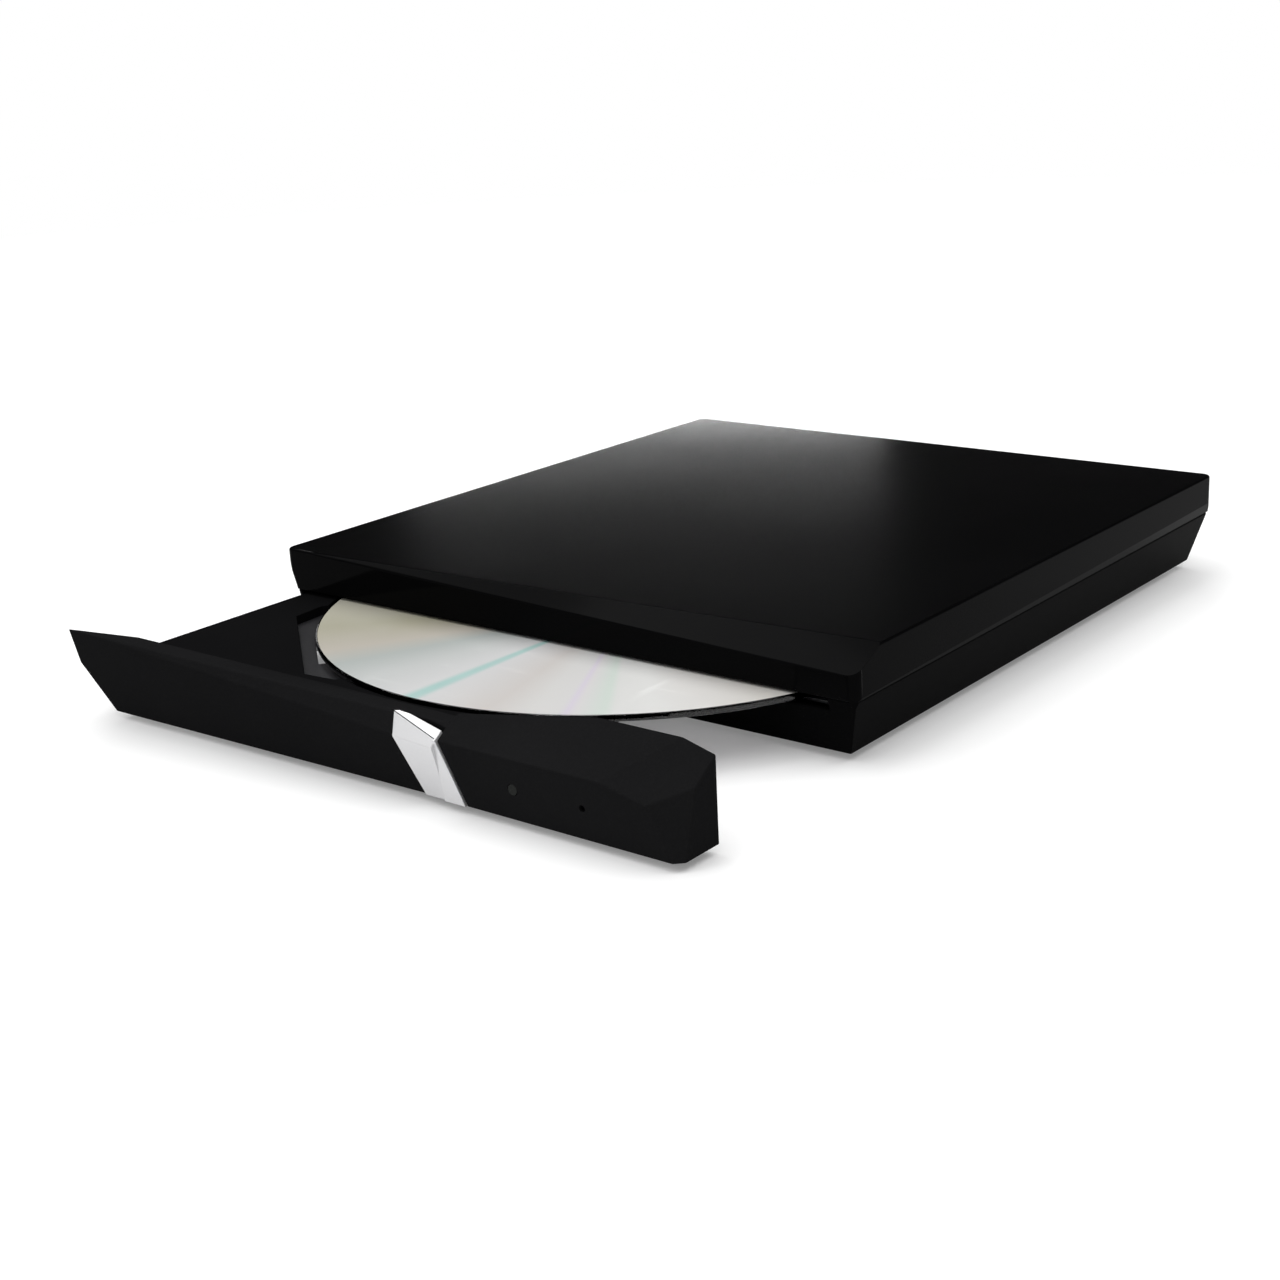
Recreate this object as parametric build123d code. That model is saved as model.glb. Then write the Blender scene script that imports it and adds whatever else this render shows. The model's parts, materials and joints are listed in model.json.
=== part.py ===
"""External disc drive: a faceted case with a sliding tray, a disc and the mechanism under it.

Case frame, in millimetres: +X to the right seen from the front, +Y to the rear, +Z up, with
Y = 0 at the case's front plane and Z = 0 at its underside. Everything on the tray is built at
its closed place. `write_parts` then moves it out to its rest place, and moves the whole drive
so that the origin is under the middle of its box, on the surface that it stands on.
"""
from build123d import *
import math
import os

# Disc
DISC_RADIUS = 60.0
DISC_BORE_RADIUS = 7.5
DISC_THICKNESS = 1.2
DISC_CENTRE_X = 1.0
DISC_FRONT_ROOM = 2.8      # from the case's front plane to the disc, with the tray closed
DISC_SIDE_ROOM = 3.0       # from the disc's widest part to the outside of the mechanism
DISC_REAR_ROOM = 3.2
DISC_CENTRE_Y = DISC_RADIUS + DISC_FRONT_ROOM

# Pan and cover of the mechanism
SHEET = 0.6
COVER_SHEET = 0.5
MECH_HALF_WIDTH = DISC_RADIUS + DISC_SIDE_ROOM
MECH_FRONT_Y = 4.6
MECH_REAR_Y = DISC_CENTRE_Y + DISC_RADIUS + DISC_REAR_ROOM
MECH_HEIGHT = 9.4
JOG_Z = 8.3                # where the left wall of the pan steps outwards
JOG = 1.6
PAN_STANDOFF = 0.4         # screw pads of the bottom cover, under the pan
TAB_SIZE = 5.0
COVER_SCREW_RADIUS = 0.8
COVER_SCREW_HEAD = 1.5
COVER_SCREW_HEAD_HEIGHT = 0.5

# Case
SIDE_ROOM = 4.75           # between the mechanism and the outside of the case
REAR_ROOM = 14.0           # the same behind the mechanism, for the bridge board
CASE_WIDTH = 2 * (MECH_HALF_WIDTH + SIDE_ROOM)
CASE_DEPTH = MECH_REAR_Y + REAR_ROOM
CASE_HEIGHT = 18.7
WALL = 1.6
CORNER_RADIUS = 2.0
EDGE_RADIUS = 0.5
BAND_FRONT_Z = 10.8        # where the upright band of the sides ends, at the front
BAND_REAR_Z = 12.8         # the same, at the rear
UNDERCUT = 3.1             # how far the lower facets lean in at the underside
TOP_FACET_DROP = 3.7       # the slanted facet of the top's front edge, at its right end
TOP_FACET_RUN = 8.0
CORNER_FACET_RUN = 2.7     # facet of the front left corner, at the parting line
CORNER_FACET_DEPTH = 12.0
SILL_GAP = 0.3             # between the tray's underside and the case's sill
HALF_CASE = CASE_WIDTH / 2
OVERRUN = 1.0              # how far a cut or a joined block reaches past the face it meets
PAN_Z = WALL + PAN_STANDOFF
PAN_TOP_Z = PAN_Z + SHEET
COVER_TOP_Z = PAN_Z + MECH_HEIGHT
COVER_Z = COVER_TOP_Z - COVER_SHEET

# Height stack of what passes under the case's front lip
LIP_GAP = 0.5              # between the lip and the mechanism's cover
DISC_HEADROOM = 0.5
TRAY_HEADROOM = 0.8
DISC_LIFT = 0.6            # between the recess and the disc
PARTING_Z = COVER_Z - LIP_GAP
DISC_TOP_Z = PARTING_Z - DISC_HEADROOM
DISC_Z = DISC_TOP_Z - DISC_THICKNESS
RECESS_Z = DISC_Z - DISC_LIFT
TRAY_TOP_Z = PARTING_Z - TRAY_HEADROOM
TRAY_FLOOR_GAP = 0.5
TRAY_Z = PAN_TOP_Z + TRAY_FLOOR_GAP
SHELF_GAP = 0.7            # between the pan's right shelf and the disc
SHELF_TOP_Z = DISC_Z - SHELF_GAP

# Tray
TRAY_RIGHT_X = 27.0
RIM_GAP = 0.3              # round the tray's rim, which lies over the left slide
TRAY_REAR_GAP = 1.5        # between the tray and the outside of the pan's rear wall
TRAY_REAR_Y = MECH_REAR_Y - TRAY_REAR_GAP
TRAY_WALL = 1.4
DECK_THICKNESS = 1.0
RECESS_GAP = 1.0           # round the disc
SMALL_RECESS_RADIUS = 40.5
SMALL_RECESS_DEPTH = 0.3
STROKE_SPARE = 3.2         # how far the disc passes the case's front plane
TRAY_STROKE = DISC_CENTRE_Y + DISC_RADIUS + STROKE_SPARE
REST_TRAVEL = 37.5         # how far the tray is out in the rest pose
SLOT_GAP = 1.0             # beside the disc in the case's slot

# Feet and screws
FOOT_RADIUS = 5.5
FOOT_HEIGHT = 1.5
FOOT_RECESS = 0.4
FOOT_CHAMFER = 0.5
FOOT_INSET_X = 13.75
FOOT_INSET_Y = 14.0
REAR_FOOT_INSET = 20.0
SCREW_RADIUS = 1.0
SCREW_HEAD_RADIUS = 1.9
SCREW_HEAD_HEIGHT = 1.0
SCREW_SINK = 0.2           # how deep a screw head lies under the underside
SCREW_GAP = 0.05
CROSS_REACH = 1.1          # half the length of the cross recess in a screw head
CROSS_HALF = 0.2
CROSS_DEPTH = 0.6
BOSS_RADIUS = 3.0
CASE_SCREW_INSET_X = 10.75
CASE_SCREW_INSET_Y = 8.0
CASE_SCREW_GRIP = 3.3      # how far the case screws reach into the top cover
CASE_SCREW_LENGTH = PARTING_Z + CASE_SCREW_GRIP - SCREW_SINK - SCREW_HEAD_HEIGHT
MECH_SCREW_LENGTH = 1.6
MECH_SCREW_INSET_LEFT = 23.0
MECH_SCREW_INSET_RIGHT = 11.0
MECH_SCREW_FRONT_Y = 20.0
MECH_SCREW_REAR_INSET = 14.0
MECH_SCREW_XS = (MECH_SCREW_INSET_LEFT - MECH_HALF_WIDTH, TRAY_RIGHT_X - MECH_SCREW_INSET_RIGHT)
MECH_SCREW_YS = (MECH_SCREW_FRONT_Y, MECH_REAR_Y - MECH_SCREW_REAR_INSET)
MECH_SCREW_PLACES = [(x, y) for x in MECH_SCREW_XS for y in MECH_SCREW_YS]
POST_RADIUS = 2.5
POST_GAP = 0.1
POST_INSET_X = 18.0
POST_FRONT_Y = 30.0
POST_REAR_INSET = 18.0
POST_X = MECH_HALF_WIDTH - POST_INSET_X
POST_PLACES = [(x, y) for x in (-POST_X, POST_X) for y in (POST_FRONT_Y, MECH_REAR_Y - POST_REAR_INSET)]

# Telescopic slides, as widths counted from the wall that carries the guide
SLIDE_ZONE = 2.4
GUIDE_WEB = 0.65
GUIDE_DEPTH = 1.75
GUIDE_LIP = 0.7
GUIDE_Z = 3.2
GUIDE_HEIGHT = 4.8
GUIDE_FRONT_GAP = 1.0
GUIDE_REAR_GAP = 2.4
SLIDE_GAP = 0.1
SLIDE_SHEET = 0.5
SLIDE_DEPTH = 1.4
SLIDE_FRONT_Y = 8.0
SLIDE_REAR_GAP = 10.0
TONGUE_GAP = 0.15
LEFT_WALL_X = -(MECH_HALF_WIDTH - SHEET)
TRAY_LEFT_X = LEFT_WALL_X + SLIDE_ZONE
STEP_WALL_X = TRAY_RIGHT_X + SLIDE_ZONE

# What is behind the bezel, as depths counted forward from the bezel's rear face
FLANGE_THICKNESS = 3.0
FLANGE_GAP = 0.25
BOARD_THICKNESS = 0.8
SWITCH_WIDTH = 4.5
SWITCH_DEPTH = 1.2
PLUNGER_RADIUS = 1.2
PLUNGER_REACH = 0.8        # of the switch's plunger out of its body
PRESS_TRAVEL = 0.8
PRESS_GAP = 0.1
STEM_WIDTH = 5.0
STEM_HEIGHT = 3.2
STEM_Z = 4.4
STEM_FLANGE = 0.8
STEM_ROOT = 0.5            # how deep the stem stands in the strip
SWITCH_TIP_DEPTH = FLANGE_THICKNESS + BOARD_THICKNESS + SWITCH_DEPTH + PLUNGER_REACH
STEM_END_DEPTH = SWITCH_TIP_DEPTH + PRESS_GAP + PRESS_TRAVEL
CAVITY_DEPTH = STEM_END_DEPTH + STEM_FLANGE + PRESS_GAP

# Front bezel, whose depths count the same way
BEZEL_GAP = 0.3
BEZEL_WALL = 1.8
SEAT_WALL = 0.8            # between the hollow and the floor of the strip's groove
STRIP_BED = 1.2            # depth of that groove at the bezel's lower edge
STRIP_SEAT_DEPTH = CAVITY_DEPTH + SEAT_WALL
BEZEL_BOTTOM_DEPTH = STRIP_SEAT_DEPTH + STRIP_BED
BEZEL_REAR_LEFT_Z = 10.4
CREST_LEAN = 0.5
CREST_DEPTH = BEZEL_BOTTOM_DEPTH + CREST_LEAN
CREST_Z = 13.5
RIDGE_LEAN = 2.4           # how far the ridge stands in front of the lower edge
RIDGE_DEPTH = BEZEL_BOTTOM_DEPTH + RIDGE_LEAN
RIDGE_Z = 10.4
RIGHT_RIDGE_LEAN = 1.6
RIGHT_RIDGE_DEPTH = BEZEL_BOTTOM_DEPTH + RIGHT_RIDGE_LEAN
RIGHT_RIDGE_Z = 10.9
RIGHT_REAR_Z = 16.0
FACET_START_DEPTH = 5.5    # depth of the right half's top edge at the strip
FACET_START_Z = 11.5       # height of the right half's rear edge at the strip
FACET_RUN = 30.0           # from the strip's left edge to where that edge is at its full height
TIP_LEAN = 5.6             # of the raised tip that ends the left half's crest
TIP_DEPTH = BEZEL_BOTTOM_DEPTH + TIP_LEAN
TIP_Z = 16.3
TIP_RIDGE_LEAN = 3.8
TIP_RIDGE_DEPTH = BEZEL_BOTTOM_DEPTH + TIP_RIDGE_LEAN
TIP_RIDGE_Z = 9.4
LEFT_END_LEAN = 5.5
RIGHT_END_RUN = 6.0
RIGHT_END_DROP = 1.6
RIGHT_END_DEPTH = 5.5
RIGHT_END_LOW_DEPTH = 8.2
CAVITY_END = 4.75          # solid stretch at the bezel's right end
CAVITY_LEFT_END = 6.5      # the same at its left end, at the bezel's greatest width
CAVITY_TOP_Z = 8.6

# Eject button's strip, lamp and pinhole
STRIP_LEFT_X = 16.0        # at the bezel's bottom edge
STRIP_WIDTH = 9.0
STRIP_SLANT = 5.0          # how far the strip leans to the left over the crest's height
STRIP_GAP = 0.15
STRIP_PROUD = 0.3
BOARD_REACH_LEFT = 10.0    # of the button board, from the strip's left edge
BOARD_REACH_RIGHT = 30.0
BOARD_LEFT_X = STRIP_LEFT_X - BOARD_REACH_LEFT
BOARD_RIGHT_X = STRIP_LEFT_X + BOARD_REACH_RIGHT
LAMP_OFFSET = 20.0
LAMP_X = STRIP_LEFT_X + LAMP_OFFSET
LAMP_Z = 5.5
LAMP_RADIUS = 0.9
LAMP_GAP = 0.1
LED_DEPTH = 0.7
LED_HALF = 1.0
PINHOLE_OFFSET = 14.0
PINHOLE_X = LAMP_X + PINHOLE_OFFSET
PINHOLE_RADIUS = 0.6

# Mechanism plate and its mounting, in its own frame: the spindle is its origin and the pickup
# travels along its -Y, which is turned towards the tray's front left corner
SLED_ANGLE = -40.0
PLATE_Z = 3.6
PLATE_THICKNESS = 1.0
PLATE_HALF = 21.5
PLATE_REACH = 2.5          # of the plate beyond the disc's edge
PLATE_FRONT_Y = -(DISC_RADIUS + PLATE_REACH)
PLATE_CHAMFER = 5.0
PLATE_REAR_Y = 17.0
PLATE_REAR_HALF = 13.5
WINDOW_GAP = 1.7           # round the plate, in the tray's deck
WINDOW_FRONT_SHARE = 0.2   # share of that gap at the plate's front end
PLATE_WINDOW_HALF = 13.0
PLATE_WINDOW_START = 13.5
EAR_RADIUS = 4.0
EAR_PLACES = [(-26.0, -16.0), (26.0, -16.0), (2.0, 23.5)]
DAMPER_RADIUS = 3.2
DAMPER_WAIST = 2.2
DAMPER_FLANGE = 0.6
DAMPER_GAP = 0.05
SHOULDER_RADIUS = 1.2
DAMPER_HEAD_RADIUS = 2.4
DAMPER_HEAD_HEIGHT = 0.35
MECH_COVER_SHEET = 0.3
MECH_COVER_GAP = 0.1
LENS_SLOT_HALF = 8.0
HUB_HOLE_GAP = 1.5

# Spindle
MOTOR_RADIUS = 11.0
MOTOR_BASE_HEIGHT = 0.8
TURNTABLE_RADIUS = 13.0
TURNTABLE_THICKNESS = 0.8
ROTOR_RADIUS = 10.0
SPINDLE_GAP = 0.1
SHAFT_RADIUS = 1.0
BEARING_WALL = 2.0
BEARING_GAP = 1.0          # under the turntable
SHAFT_FIT = 0.03
HUB_RADIUS = 7.3
HUB_RISE = 1.55            # above the turntable's face
PAD_RING_WIDTH = 3.0
PAD_RING_HEIGHT = 0.25
CLAW_COUNT = 3
CLAW_WIDTH = 2.4
CLAW_DEPTH = 2.2
CLAW_HEIGHT = 1.1
CLAW_LIP = 0.4             # how far a claw's lip reaches over the disc
CLAW_TRAVEL = 0.5
CLAW_GAP = 0.05

# Pickup
ROD_RADIUS = 1.0
ROD_X = 15.5
ROD_Z = 6.0
ROD_START = 11.0
ROD_HOLDER = 1.6
ROD_HOLDER_HEIGHT = 2.8
ROD_FIT = 0.05
LENS_START = 24.0          # radius where the lens is parked
LENS_EDGE = 3.0            # from the lens at its outer end to the disc's edge
LENS_TRAVEL = DISC_RADIUS - LENS_EDGE - LENS_START
SLED_INNER = 9.0           # the sled's reach from the lens towards the hub
SLED_OUTER = 3.0
SLED_STOP_GAP = 0.1        # before the sled meets the outer rod holders
SLED_HALF = 17.3
SLED_Z = 4.9
SLED_TOP_Z = 7.3
SLED_BELLY_HALF = 12.0
SLED_BELLY_Z = 3.4
HOLDER_WIDTH = 9.0
HOLDER_DEPTH = 5.0
HOLDER_HEIGHT = 1.3
HOLDER_GAP = 0.2
LENS_RADIUS = 2.0
LENS_THICKNESS = 0.5
LENS_TOP_Z = 7.5
FOCUS_TRAVEL = 0.3
SCREW_X = 19.4
LEAD_RADIUS = 1.1
LEAD_PITCH = 3.0
LEAD_SHORT = 1.0           # of the lead screw's end before the lens's outer place
LEAD_END = LENS_START + LENS_TRAVEL - LEAD_SHORT
LEAD_BEARING = 1.6
GROOVE_RADIUS = 0.88
GROOVE_WIDTH = 0.75
NUT_LENGTH = 4.0
NUT_WALL = 0.8
STEPPER_WIDTH = 6.4
STEPPER_LENGTH = 9.0
STEPPER_Z = 3.4
STEPPER_HEIGHT = 3.9
STEPPER_GAP = 0.4

# Tray board and lock
TRAY_BOARD_Z = 5.6
TRAY_BOARD_LENGTH = 25.0
TRAY_BOARD_INSET_LEFT = 8.0
TRAY_BOARD_INSET_RIGHT = 3.0
TRAY_BOARD_INSET_REAR = 3.5
TRAY_BOARD_REAR_Y = TRAY_REAR_Y - TRAY_BOARD_INSET_REAR
TRAY_BOARD = (TRAY_LEFT_X + TRAY_BOARD_INSET_LEFT, TRAY_RIGHT_X - TRAY_BOARD_INSET_RIGHT,
              TRAY_BOARD_REAR_Y - TRAY_BOARD_LENGTH, TRAY_BOARD_REAR_Y)
TRAY_CHIPS = [(23.0, 12.0), (42.0, 9.0), (61.0, 6.0)]   # place from the board's left end, and size
CHIP_HEIGHT = 0.9
LOCK_PIN_RADIUS = 1.0
LOCK_PIN_INSET_X = 6.0
LOCK_PIN_INSET_Y = 12.5
LOCK_PIN_X = TRAY_LEFT_X + LOCK_PIN_INSET_X
LOCK_PIN_Y = TRAY_REAR_Y - LOCK_PIN_INSET_Y
LOCK_PIN_HEIGHT = 2.4
LOCK_GAP = 0.3
LEVER_THICKNESS = 1.0
LEVER_SIDE = 7.0           # from the striker pin to the lever's pivot
LEVER_REACH = 24.0
LEVER_PIVOT_X = LOCK_PIN_X + LEVER_SIDE
LEVER_PIVOT_Y = LOCK_PIN_Y - LEVER_REACH
LEVER_WIDTH = 3.0
LEVER_HUB_RADIUS = 2.4
LEVER_HOOK = 4.6
LEVER_SWING = 10.0
PIVOT_RADIUS = 1.2
SOLENOID_SIDE = 4.0        # from the lever's pivot to the solenoid, to the side and to the rear
SOLENOID_WIDTH = 8.0
SOLENOID_LENGTH = 14.0
SOLENOID_X = LEVER_PIVOT_X + SOLENOID_SIDE
SOLENOID_Y = LEVER_PIVOT_Y + SOLENOID_SIDE
SOLENOID = (SOLENOID_X, SOLENOID_X + SOLENOID_WIDTH, SOLENOID_Y - SOLENOID_LENGTH, SOLENOID_Y)
SOLENOID_HEIGHT = 3.2
SOLENOID_WALL = 1.0

# Bridge board and USB socket
USB_INSET = 27.75          # from the case's right side
USB_X = HALF_CASE - USB_INSET
BRIDGE_GAP = 1.6           # behind the mechanism
BRIDGE_REAR_GAP = 4.8      # before the case's rear plane
BRIDGE_LENGTH = 44.0
BRIDGE_END = 10.0          # of the board to the right of the socket's middle
BRIDGE_LEFT_X = USB_X + BRIDGE_END - BRIDGE_LENGTH
BRIDGE = (BRIDGE_LEFT_X, USB_X + BRIDGE_END, MECH_REAR_Y + BRIDGE_GAP, CASE_DEPTH - BRIDGE_REAR_GAP)
BRIDGE_Z = 4.4
BRIDGE_CHIPS = [(8.0, 5.5), (18.0, 3.5)]                # place from the board's left end, and size
BRIDGE_POST_RADIUS = 1.5
USB_WIDTH = 7.7
USB_HEIGHT = 3.9
USB_SHELL = 0.35
USB_DEPTH = 9.0
USB_RECESS = 0.6           # of the socket's mouth behind the case's rear plane
USB_PORT_GAP = 0.3
TONGUE_WIDTH = 5.0
TONGUE_THICKNESS = 0.9
TONGUE_SINK = 1.0          # of the tongue behind the socket's mouth
SATA_OFFSET = 12.0         # of the connector's middle from the board's left end
SATA_X = BRIDGE_LEFT_X + SATA_OFFSET
SATA_WIDTH = 22.0
SATA_HEIGHT = 3.4
SATA_DROP = 1.0            # of the connector under its board
FLEX_WIDTH = 18.0
FLEX_THICKNESS = 0.2
FLEX_X = -12.0
FLEX_FRONT_Y = 60.0

# Where the origin of the finished drive lies in the case frame
FRONT_REACH = REST_TRAVEL + BEZEL_GAP + TIP_DEPTH
ORIGIN = (0.0, (CASE_DEPTH - FRONT_REACH) / 2, -FOOT_HEIGHT)
FAR = 400.0


def block(x0, x1, y0, y1, z0, z1):
    """A box between two corners."""
    size = Box(x1 - x0, y1 - y0, z1 - z0)
    return Pos((x0 + x1) / 2, (y0 + y1) / 2, (z0 + z1) / 2) * size


def upright(x, y, z0, z1, radius):
    """A cylinder that stands on z0 and ends at z1."""
    return Pos(x, y, (z0 + z1) / 2) * Cylinder(radius, z1 - z0)


def along_y(x, z, y0, y1, radius):
    """A cylinder that runs along Y."""
    return Pos(x, (y0 + y1) / 2, z) * Rot(90, 0, 0) * Cylinder(radius, y1 - y0)


def prism(points, direction, length):
    """An outline in space, extruded along a direction."""
    return extrude(make_face(Polyline(*points, close=True)), amount=length, dir=direction)


def cut_beyond(solid, a, b, c, outside):
    """Removes what lies beyond the plane through a, b and c, on the side of the point outside."""
    normal = (Vector(*b) - Vector(*a)).cross(Vector(*c) - Vector(*a)).normalized()
    if normal.dot(Vector(*outside) - Vector(*a)) < 0:
        normal = normal * -1
    waste = Box(FAR, FAR, FAR, align=(Align.CENTER, Align.CENTER, Align.MIN))
    return solid - Plane(origin=a, z_dir=normal) * waste


def moved_in(points, direction, distance):
    """The points, each moved a distance along a direction."""
    step = Vector(*direction).normalized() * distance
    return [tuple(Vector(*p) + step) for p in points]


# Case

def case_envelope(inset):
    """The case's outer form, or its hollow when inset is the wall thickness."""
    half = HALF_CASE - inset
    body = block(-half, half, inset, CASE_DEPTH - inset, inset, CASE_HEIGHT - inset)
    body = fillet(body.edges().filter_by(Axis.Z), CORNER_RADIUS - inset / 2)
    body = fillet(body.edges().group_by(Axis.Z)[-1], EDGE_RADIUS)
    for side in (-1, 1):
        edge = side * HALF_CASE
        facet = [(edge, 0, BAND_FRONT_Z), (edge, CASE_DEPTH, BAND_REAR_Z), (edge - side * UNDERCUT, 0, 0)]
        facet = moved_in(facet, (-side, 0, 0), inset)
        body = cut_beyond(body, *facet, (2 * edge, 0, 0))
    front = [(0, 0, BAND_FRONT_Z), (1, 0, BAND_FRONT_Z), (0, UNDERCUT, 0)]
    body = cut_beyond(body, *moved_in(front, (0, 1, 0), inset), (0, -CASE_DEPTH, 0))
    rear = [(0, CASE_DEPTH, BAND_REAR_Z), (1, CASE_DEPTH, BAND_REAR_Z), (0, CASE_DEPTH - UNDERCUT, 0)]
    body = cut_beyond(body, *moved_in(rear, (0, -1, 0), inset), (0, 2 * CASE_DEPTH, 0))
    top = [(-HALF_CASE, 0, CASE_HEIGHT), (HALF_CASE, 0, CASE_HEIGHT - TOP_FACET_DROP),
           (HALF_CASE, TOP_FACET_RUN, CASE_HEIGHT)]
    body = cut_beyond(body, *moved_in(top, (0, 0, -1), inset), (0, -CASE_DEPTH, FAR))
    return corner_facets(body, inset)


def corner_facets(body, inset):
    """The case's form with its front left corner faceted, leaning above the parting line."""
    corner = (-HALF_CASE, 0, CASE_HEIGHT)
    middle = (-HALF_CASE + CORNER_FACET_RUN, 0, PARTING_Z)
    side = (-HALF_CASE, CORNER_FACET_DEPTH, PARTING_Z)
    foot = (-HALF_CASE + CORNER_FACET_RUN, 0, 0)
    outside = (-2 * HALF_CASE, -CASE_DEPTH, 0)
    upper = body & block(-FAR, FAR, -FAR, FAR, PARTING_Z, FAR)
    upper = cut_beyond(upper, *moved_in([corner, middle, side], (1, 0, 0), inset), outside)
    lower = body & block(-FAR, FAR, -FAR, FAR, -FAR, PARTING_Z)
    lower = cut_beyond(lower, *moved_in([foot, middle, side], (1, 0, 0), inset), outside)
    return upper + lower


def case_shell():
    """The closed, hollow case, before it is parted."""
    return case_envelope(0) - case_envelope(WALL)


def screw_places():
    """Places of the screws that hold the two covers together."""
    return [(side * (HALF_CASE - CASE_SCREW_INSET_X), CASE_DEPTH - CASE_SCREW_INSET_Y) for side in (-1, 1)]


def top_cover(shell):
    """Upper shell with its front lip, screw bosses and hold-down posts."""
    ceiling = CASE_HEIGHT - WALL
    cover = shell & block(-FAR, FAR, -FAR, FAR, PARTING_Z, CASE_HEIGHT)
    for x, y in screw_places():
        cover += upright(x, y, PARTING_Z, ceiling, BOSS_RADIUS)
    for x, y in POST_PLACES:
        cover += upright(x, y, COVER_TOP_Z + POST_GAP, ceiling, POST_RADIUS)
    tip = SCREW_SINK + SCREW_HEAD_HEIGHT + CASE_SCREW_LENGTH + SCREW_GAP
    for x, y in screw_places():
        cover -= upright(x, y, PARTING_Z, tip, SCREW_RADIUS + SCREW_GAP)
    return cover


def foot_places():
    """Centres of the four feet."""
    x = HALF_CASE - FOOT_INSET_X
    rows = (FOOT_INSET_Y, CASE_DEPTH - REAR_FOOT_INSET)
    return [(side * x, y) for side in (-1, 1) for y in rows]


def front_slot():
    """What is cut out of the case's front for the tray, the slides and the overhanging disc."""
    rear = MECH_FRONT_Y + OVERRUN
    low = block(LEFT_WALL_X, STEP_WALL_X, -OVERRUN, rear, TRAY_Z - SILL_GAP, PARTING_Z)
    low += block(LEFT_WALL_X - JOG, LEFT_WALL_X, -OVERRUN, rear, JOG_Z, PARTING_Z)
    right = DISC_CENTRE_X + DISC_RADIUS + SLOT_GAP
    high = block(STEP_WALL_X, right, -OVERRUN, rear, SHELF_TOP_Z, PARTING_Z)
    return low + high


def usb_mouth_y():
    """Rear end of the USB socket: its recess behind the leaning rear wall at its height."""
    lean = UNDERCUT * (1 - (BRIDGE_Z + BOARD_THICKNESS) / BAND_REAR_Z)
    return CASE_DEPTH - lean - USB_RECESS


def usb_low_z():
    """Underside of the USB socket, on its board."""
    return BRIDGE_Z + BOARD_THICKNESS


def bottom_cover(shell):
    """Lower shell with its sill, screw pillars, board posts and recesses for the feet."""
    cover = shell & block(-FAR, FAR, -FAR, FAR, 0, PARTING_Z)
    for x, y in screw_places():
        cover += upright(x, y, WALL, PARTING_Z, BOSS_RADIUS)
    for x, y in MECH_SCREW_PLACES:
        cover += upright(x, y, WALL, PAN_Z, BOSS_RADIUS)
    for x in BRIDGE[:2]:
        inward = BRIDGE_POST_RADIUS if x == BRIDGE[0] else -BRIDGE_POST_RADIUS
        cover += upright(x + inward, (BRIDGE[2] + BRIDGE[3]) / 2, WALL, BRIDGE_Z, BRIDGE_POST_RADIUS)
    for x, y in foot_places():
        cover -= upright(x, y, 0, FOOT_RECESS, FOOT_RADIUS + SCREW_GAP)
    for x, y in screw_places() + MECH_SCREW_PLACES:
        cover -= upright(x, y, 0, PARTING_Z, SCREW_RADIUS + SCREW_GAP)
        cover -= upright(x, y, 0, SCREW_SINK + SCREW_HEAD_HEIGHT, SCREW_HEAD_RADIUS + SCREW_GAP)
    half = USB_WIDTH / 2 + USB_PORT_GAP
    cover -= block(USB_X - half, USB_X + half, usb_mouth_y() - 4 * WALL, CASE_DEPTH + OVERRUN,
                   usb_low_z() - USB_PORT_GAP, usb_low_z() + USB_HEIGHT + USB_PORT_GAP)
    return cover - front_slot()


def rubber_feet():
    """Four feet in their recesses."""
    feet = []
    for x, y in foot_places():
        foot = upright(x, y, -FOOT_HEIGHT, FOOT_RECESS, FOOT_RADIUS)
        feet.append(chamfer(foot.edges().sort_by(Axis.Z)[0], FOOT_CHAMFER))
    return Compound(feet)


def screw(x, y, length):
    """A screw driven up from the underside, with a cross recess in its head."""
    head_top = SCREW_SINK + SCREW_HEAD_HEIGHT
    body = upright(x, y, SCREW_SINK, head_top, SCREW_HEAD_RADIUS)
    body += upright(x, y, head_top, head_top + length, SCREW_RADIUS)
    depth = SCREW_SINK + CROSS_DEPTH
    body -= block(x - CROSS_REACH, x + CROSS_REACH, y - CROSS_HALF, y + CROSS_HALF, 0, depth)
    return body - block(x - CROSS_HALF, x + CROSS_HALF, y - CROSS_REACH, y + CROSS_REACH, 0, depth)


def case_screws():
    """Screws that hold the covers together."""
    return Compound([screw(x, y, CASE_SCREW_LENGTH) for x, y in screw_places()])


def mech_screws():
    """Screws that hold the pan on the bottom cover."""
    return Compound([screw(x, y, MECH_SCREW_LENGTH) for x, y in MECH_SCREW_PLACES])


# Pan, cover and slides

def tab_places():
    """Corner tabs of the pan, as their outer corner and the direction to their inner one."""
    right = MECH_HALF_WIDTH - SHEET
    rows = ((MECH_FRONT_Y, 1), (MECH_REAR_Y - SHEET, -1))
    return [(x, y, -sx, sy) for x, sx in ((-right - JOG, -1), (right, 1)) for y, sy in rows]


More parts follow.
